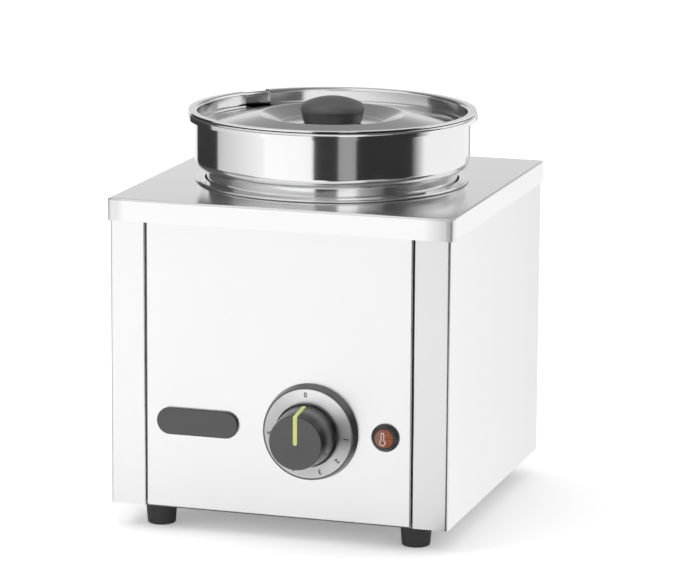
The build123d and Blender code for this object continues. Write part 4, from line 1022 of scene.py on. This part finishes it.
def seen_rays(tree):
    """Two switches: 1 for a look by the camera, a reflection or glass, and 1 for the camera alone."""
    rays = add_node(tree, "LightPath", "Is Camera Ray").node.outputs
    mirrored = maths(tree, "MAXIMUM", rays["Is Glossy Ray"], rays["Is Transmission Ray"])
    return maths(tree, "MAXIMUM", rays["Is Camera Ray"], mirrored), rays["Is Camera Ray"]


def put_stage(name, plan, heights, look):
    """Four-cornered stage piece: plan points and their heights."""
    points = np.column_stack([plan, np.broadcast_to(heights, 4)])
    stage = put_mesh(name, points, np.array([[0, 1, 2, 3]]), look)
    return stage


def oblong(left, right, half):
    """Plan corners of an oblong that reaches as far to the front as to the rear."""
    return [(left, -half), (right, -half), (right, half), (left, half)]


tree, shader = new_finish("floor_paper", (1, 1, 1), roughness=0.9, sockets={
    "Specular IOR Level": 0.0, "Emission Color": (1, 1, 1, 1)})
drive(shader, noise(tree, object_place(tree), FLOOR_SCALE), roughness=(0.85, 0.95), depth=0.01)
seen, by_camera = seen_rays(tree)
fill(shader, {"Base Color": ranged(tree, seen, 0.0, 1.0, PAPER, 1.0),
              "Emission Strength": maths(tree, "MULTIPLY", by_camera, CAMERA_GLOW)})
put_stage("floor", oblong(-FLOOR_HALF, FLOOR_HALF, FLOOR_HALF), 0, "floor_paper")

# %% [markdown]
# A photographer hangs grey and black cards round bright metal, so that it has edges. A picture of a
# studio could be mirrored instead, but cards can be placed one by one, each for one reflection. Only
# gloss sees them: they give the object no light and throw no shadow.

# %% Reflection cards
CAMERA_SIDE = np.degrees(AZIMUTH)
LOW, MIDDLE, HIGH = (5, 330), (330, 650), (650, 1500)


def put_card(name, plan, heights, levels):
    """Card that gives off the grey level written at each corner. The camera doesn't see it, and it
    casts no light or shadow, so that only gloss shows it."""
    card = put_stage(f"card_{name}", plan, heights, "reflection_card")
    grey = card.data.attributes.new("level", "FLOAT_COLOR", "POINT")
    grey.data.foreach_set("color", np.repeat(np.broadcast_to(levels, 4), 4))
    card.visible_camera = card.visible_diffuse = card.visible_shadow = False


def put_upright(name, bearings, distance, heights, levels):
    """Upright card square to its middle bearing, at a distance from the object. Bearings count in
    degrees from the camera's side, to the right. Levels: low left, low right, high right, high left."""
    bearing = np.radians(CAMERA_SIDE + np.array(bearings))
    reach = distance / np.cos(np.ptp(bearing) / 2)
    left, right = np.stack([reach * np.sin(bearing), -reach * np.cos(bearing)], -1)
    put_card(name, [left, right, right, left], np.repeat(heights, 2), levels)


tree, shader = new_finish("reflection_card", (0, 0, 0), roughness=1.0, sockets={
    "Specular IOR Level": 0.0, "Emission Strength": 1.0})
fill(shader, {"Emission Color": add_node(tree, "Attribute", "Color", attribute_name="level")})
for card in (
    ("left_edge", (-149, -105.5), 900, LOW, (0.03, 0.03, 0.06, 0.06)),
    ("left_pale", (-105.5, -55), 820, LOW, (0.58, 1.0, 1.0, 0.58)),
    ("camera_left", (-14.6, 4.8), 900, LOW, (0.03, 0.03, 0.05, 0.05)),
    ("camera_grey", (4.8, 18.6), 900, (5, 300), (0.34, 0.34, 0.36, 0.36)),
    ("camera_right", (18.6, 66), 810, LOW, (0.025, 0.025, 0.04, 0.04)),
    ("right_soft", (66, 79), 880, LOW, (0.025, 0.95, 0.95, 0.04)),
    ("right_edge", (156, 176), 900, LOW, 0.4),
    ("middle_left_edge", (-150, -100), 820, MIDDLE, (0.06, 0.06, 0.1, 0.1)),
    ("middle_left", (-100, -14.6), 660, MIDDLE, (0.12, 0.45, 0.8, 0.55)),
    ("middle", (-14.6, 4.8), 900, MIDDLE, (0.2, 0.2, 0.45, 0.45)),
    ("middle_soft", (22, 46), 860, MIDDLE, (0.5, 0.04, 0.45, 1.0)),
    ("middle_right", (46, 96), 790, MIDDLE, (0.04, 0.05, 0.12, 0.16)),
    ("middle_far_right", (96, 128), 840, (330, 470), (0.1, 0.35, 0.35, 0.1)),
    ("high_left_edge", (-150, -107), 820, HIGH, (0.1, 0.1, 0.15, 0.15)),
    ("high_left", (-107, -14.6), 640, HIGH, (0.75, 1.0, 0.8, 0.6)),
    ("high_back_right", (128, 148), 830, (560, 1500), 0.95),
    ("high_right", (29, 90), 760, HIGH, (0.1, 0.08, 0.1, 0.12)),
    ("high_far_right", (90, 128), 830, (470, 1500), (0.95, 0.95, 0.95, 0.9)),
    ("back_low", (118, 242), 800, (232, 420), (0.65, 1.0, 0.88, 0.58)),
    ("back_middle", (118, 242), 800, (420, 540), (0.58, 0.88, 0.36, 0.32)),
    ("back_high", (118, 242), 800, (540, 830), (0.32, 0.36, 0.26, 0.26)),
    ("back_top", (118, 242), 800, (830, 1500), (0.26, 0.26, 0.2, 0.2)),
):
    put_upright(*card)

# %% [markdown]
# Flat cards do the same from above and below. The roof is white on the left and grey on the right,
# so the lid shows a soft edge. The cards on the floor fan out from the cabinet's corners, so its
# walls mirror a paler or darker floor than the camera sees.

# %% Roof and floor cards
ROOF_HALF, ROOF_HEIGHT, ROOF_SPLIT = 1700, 2300, -150
FLOOR_CARD_Z = 1.5

for card in (
    ("roof_left", oblong(-ROOF_HALF, ROOF_SPLIT, ROOF_HALF), ROOF_HEIGHT, 0.9),
    ("roof_right", oblong(ROOF_SPLIT, ROOF_HALF, ROOF_HALF), ROOF_HEIGHT, 0.22),
    ("floor_right", [(96, -123), (200, -1000), (1000, -700), (124, -118)], FLOOR_CARD_Z, 0.08),
    ("floor_left", [(-124, -110), (-124, 110), (-1000, 700), (-1000, -420)], FLOOR_CARD_Z, 0.4),
    ("floor_side", [(124, -118), (700, 650), (700, 1200), (124, 1200)], FLOOR_CARD_Z, 1.0),
):
    put_card(*card)

# %% [markdown]
# The light is plain: an even white world, which tells rays apart as the floor does, and one soft lamp
# at the upper left. More lamps could be set, but polished steel would show each one as a spot.

# %% World and lamp
WORLD_LIGHT = 0.94
LAMP_PLACE, LAMP_AIM = np.array([-1100.0, -1300.0, 1900.0]), np.array([0.0, 0.0, 150.0])
LAMP_SIZE, LAMP_POWER = 900, 8.0

world = bpy.data.worlds.new("studio")
scene.world = world
world.use_nodes = True
seen, _ = seen_rays(world.node_tree)
sky_light = ranged(world.node_tree, seen, 0.0, 1.0, WORLD_LIGHT, 1.0)
fill(world.node_tree.nodes["Background"], {"Color": (1, 1, 1, 1), "Strength": sky_light})

lamp_data = bpy.data.lights.new("key_lamp", "AREA")
lamp_data.shape, lamp_data.size, lamp_data.energy = "SQUARE", LAMP_SIZE * MM, LAMP_POWER
away = (LAMP_PLACE - LAMP_AIM) / norm(LAMP_PLACE - LAMP_AIM)
beside = np.cross((0, 0, 1), away)
beside /= norm(beside)
placed(lamp_data, (beside, np.cross(away, beside), away), LAMP_PLACE)
scene.view_settings.view_transform = "Standard"
print("lamps:", len(bpy.data.lights))
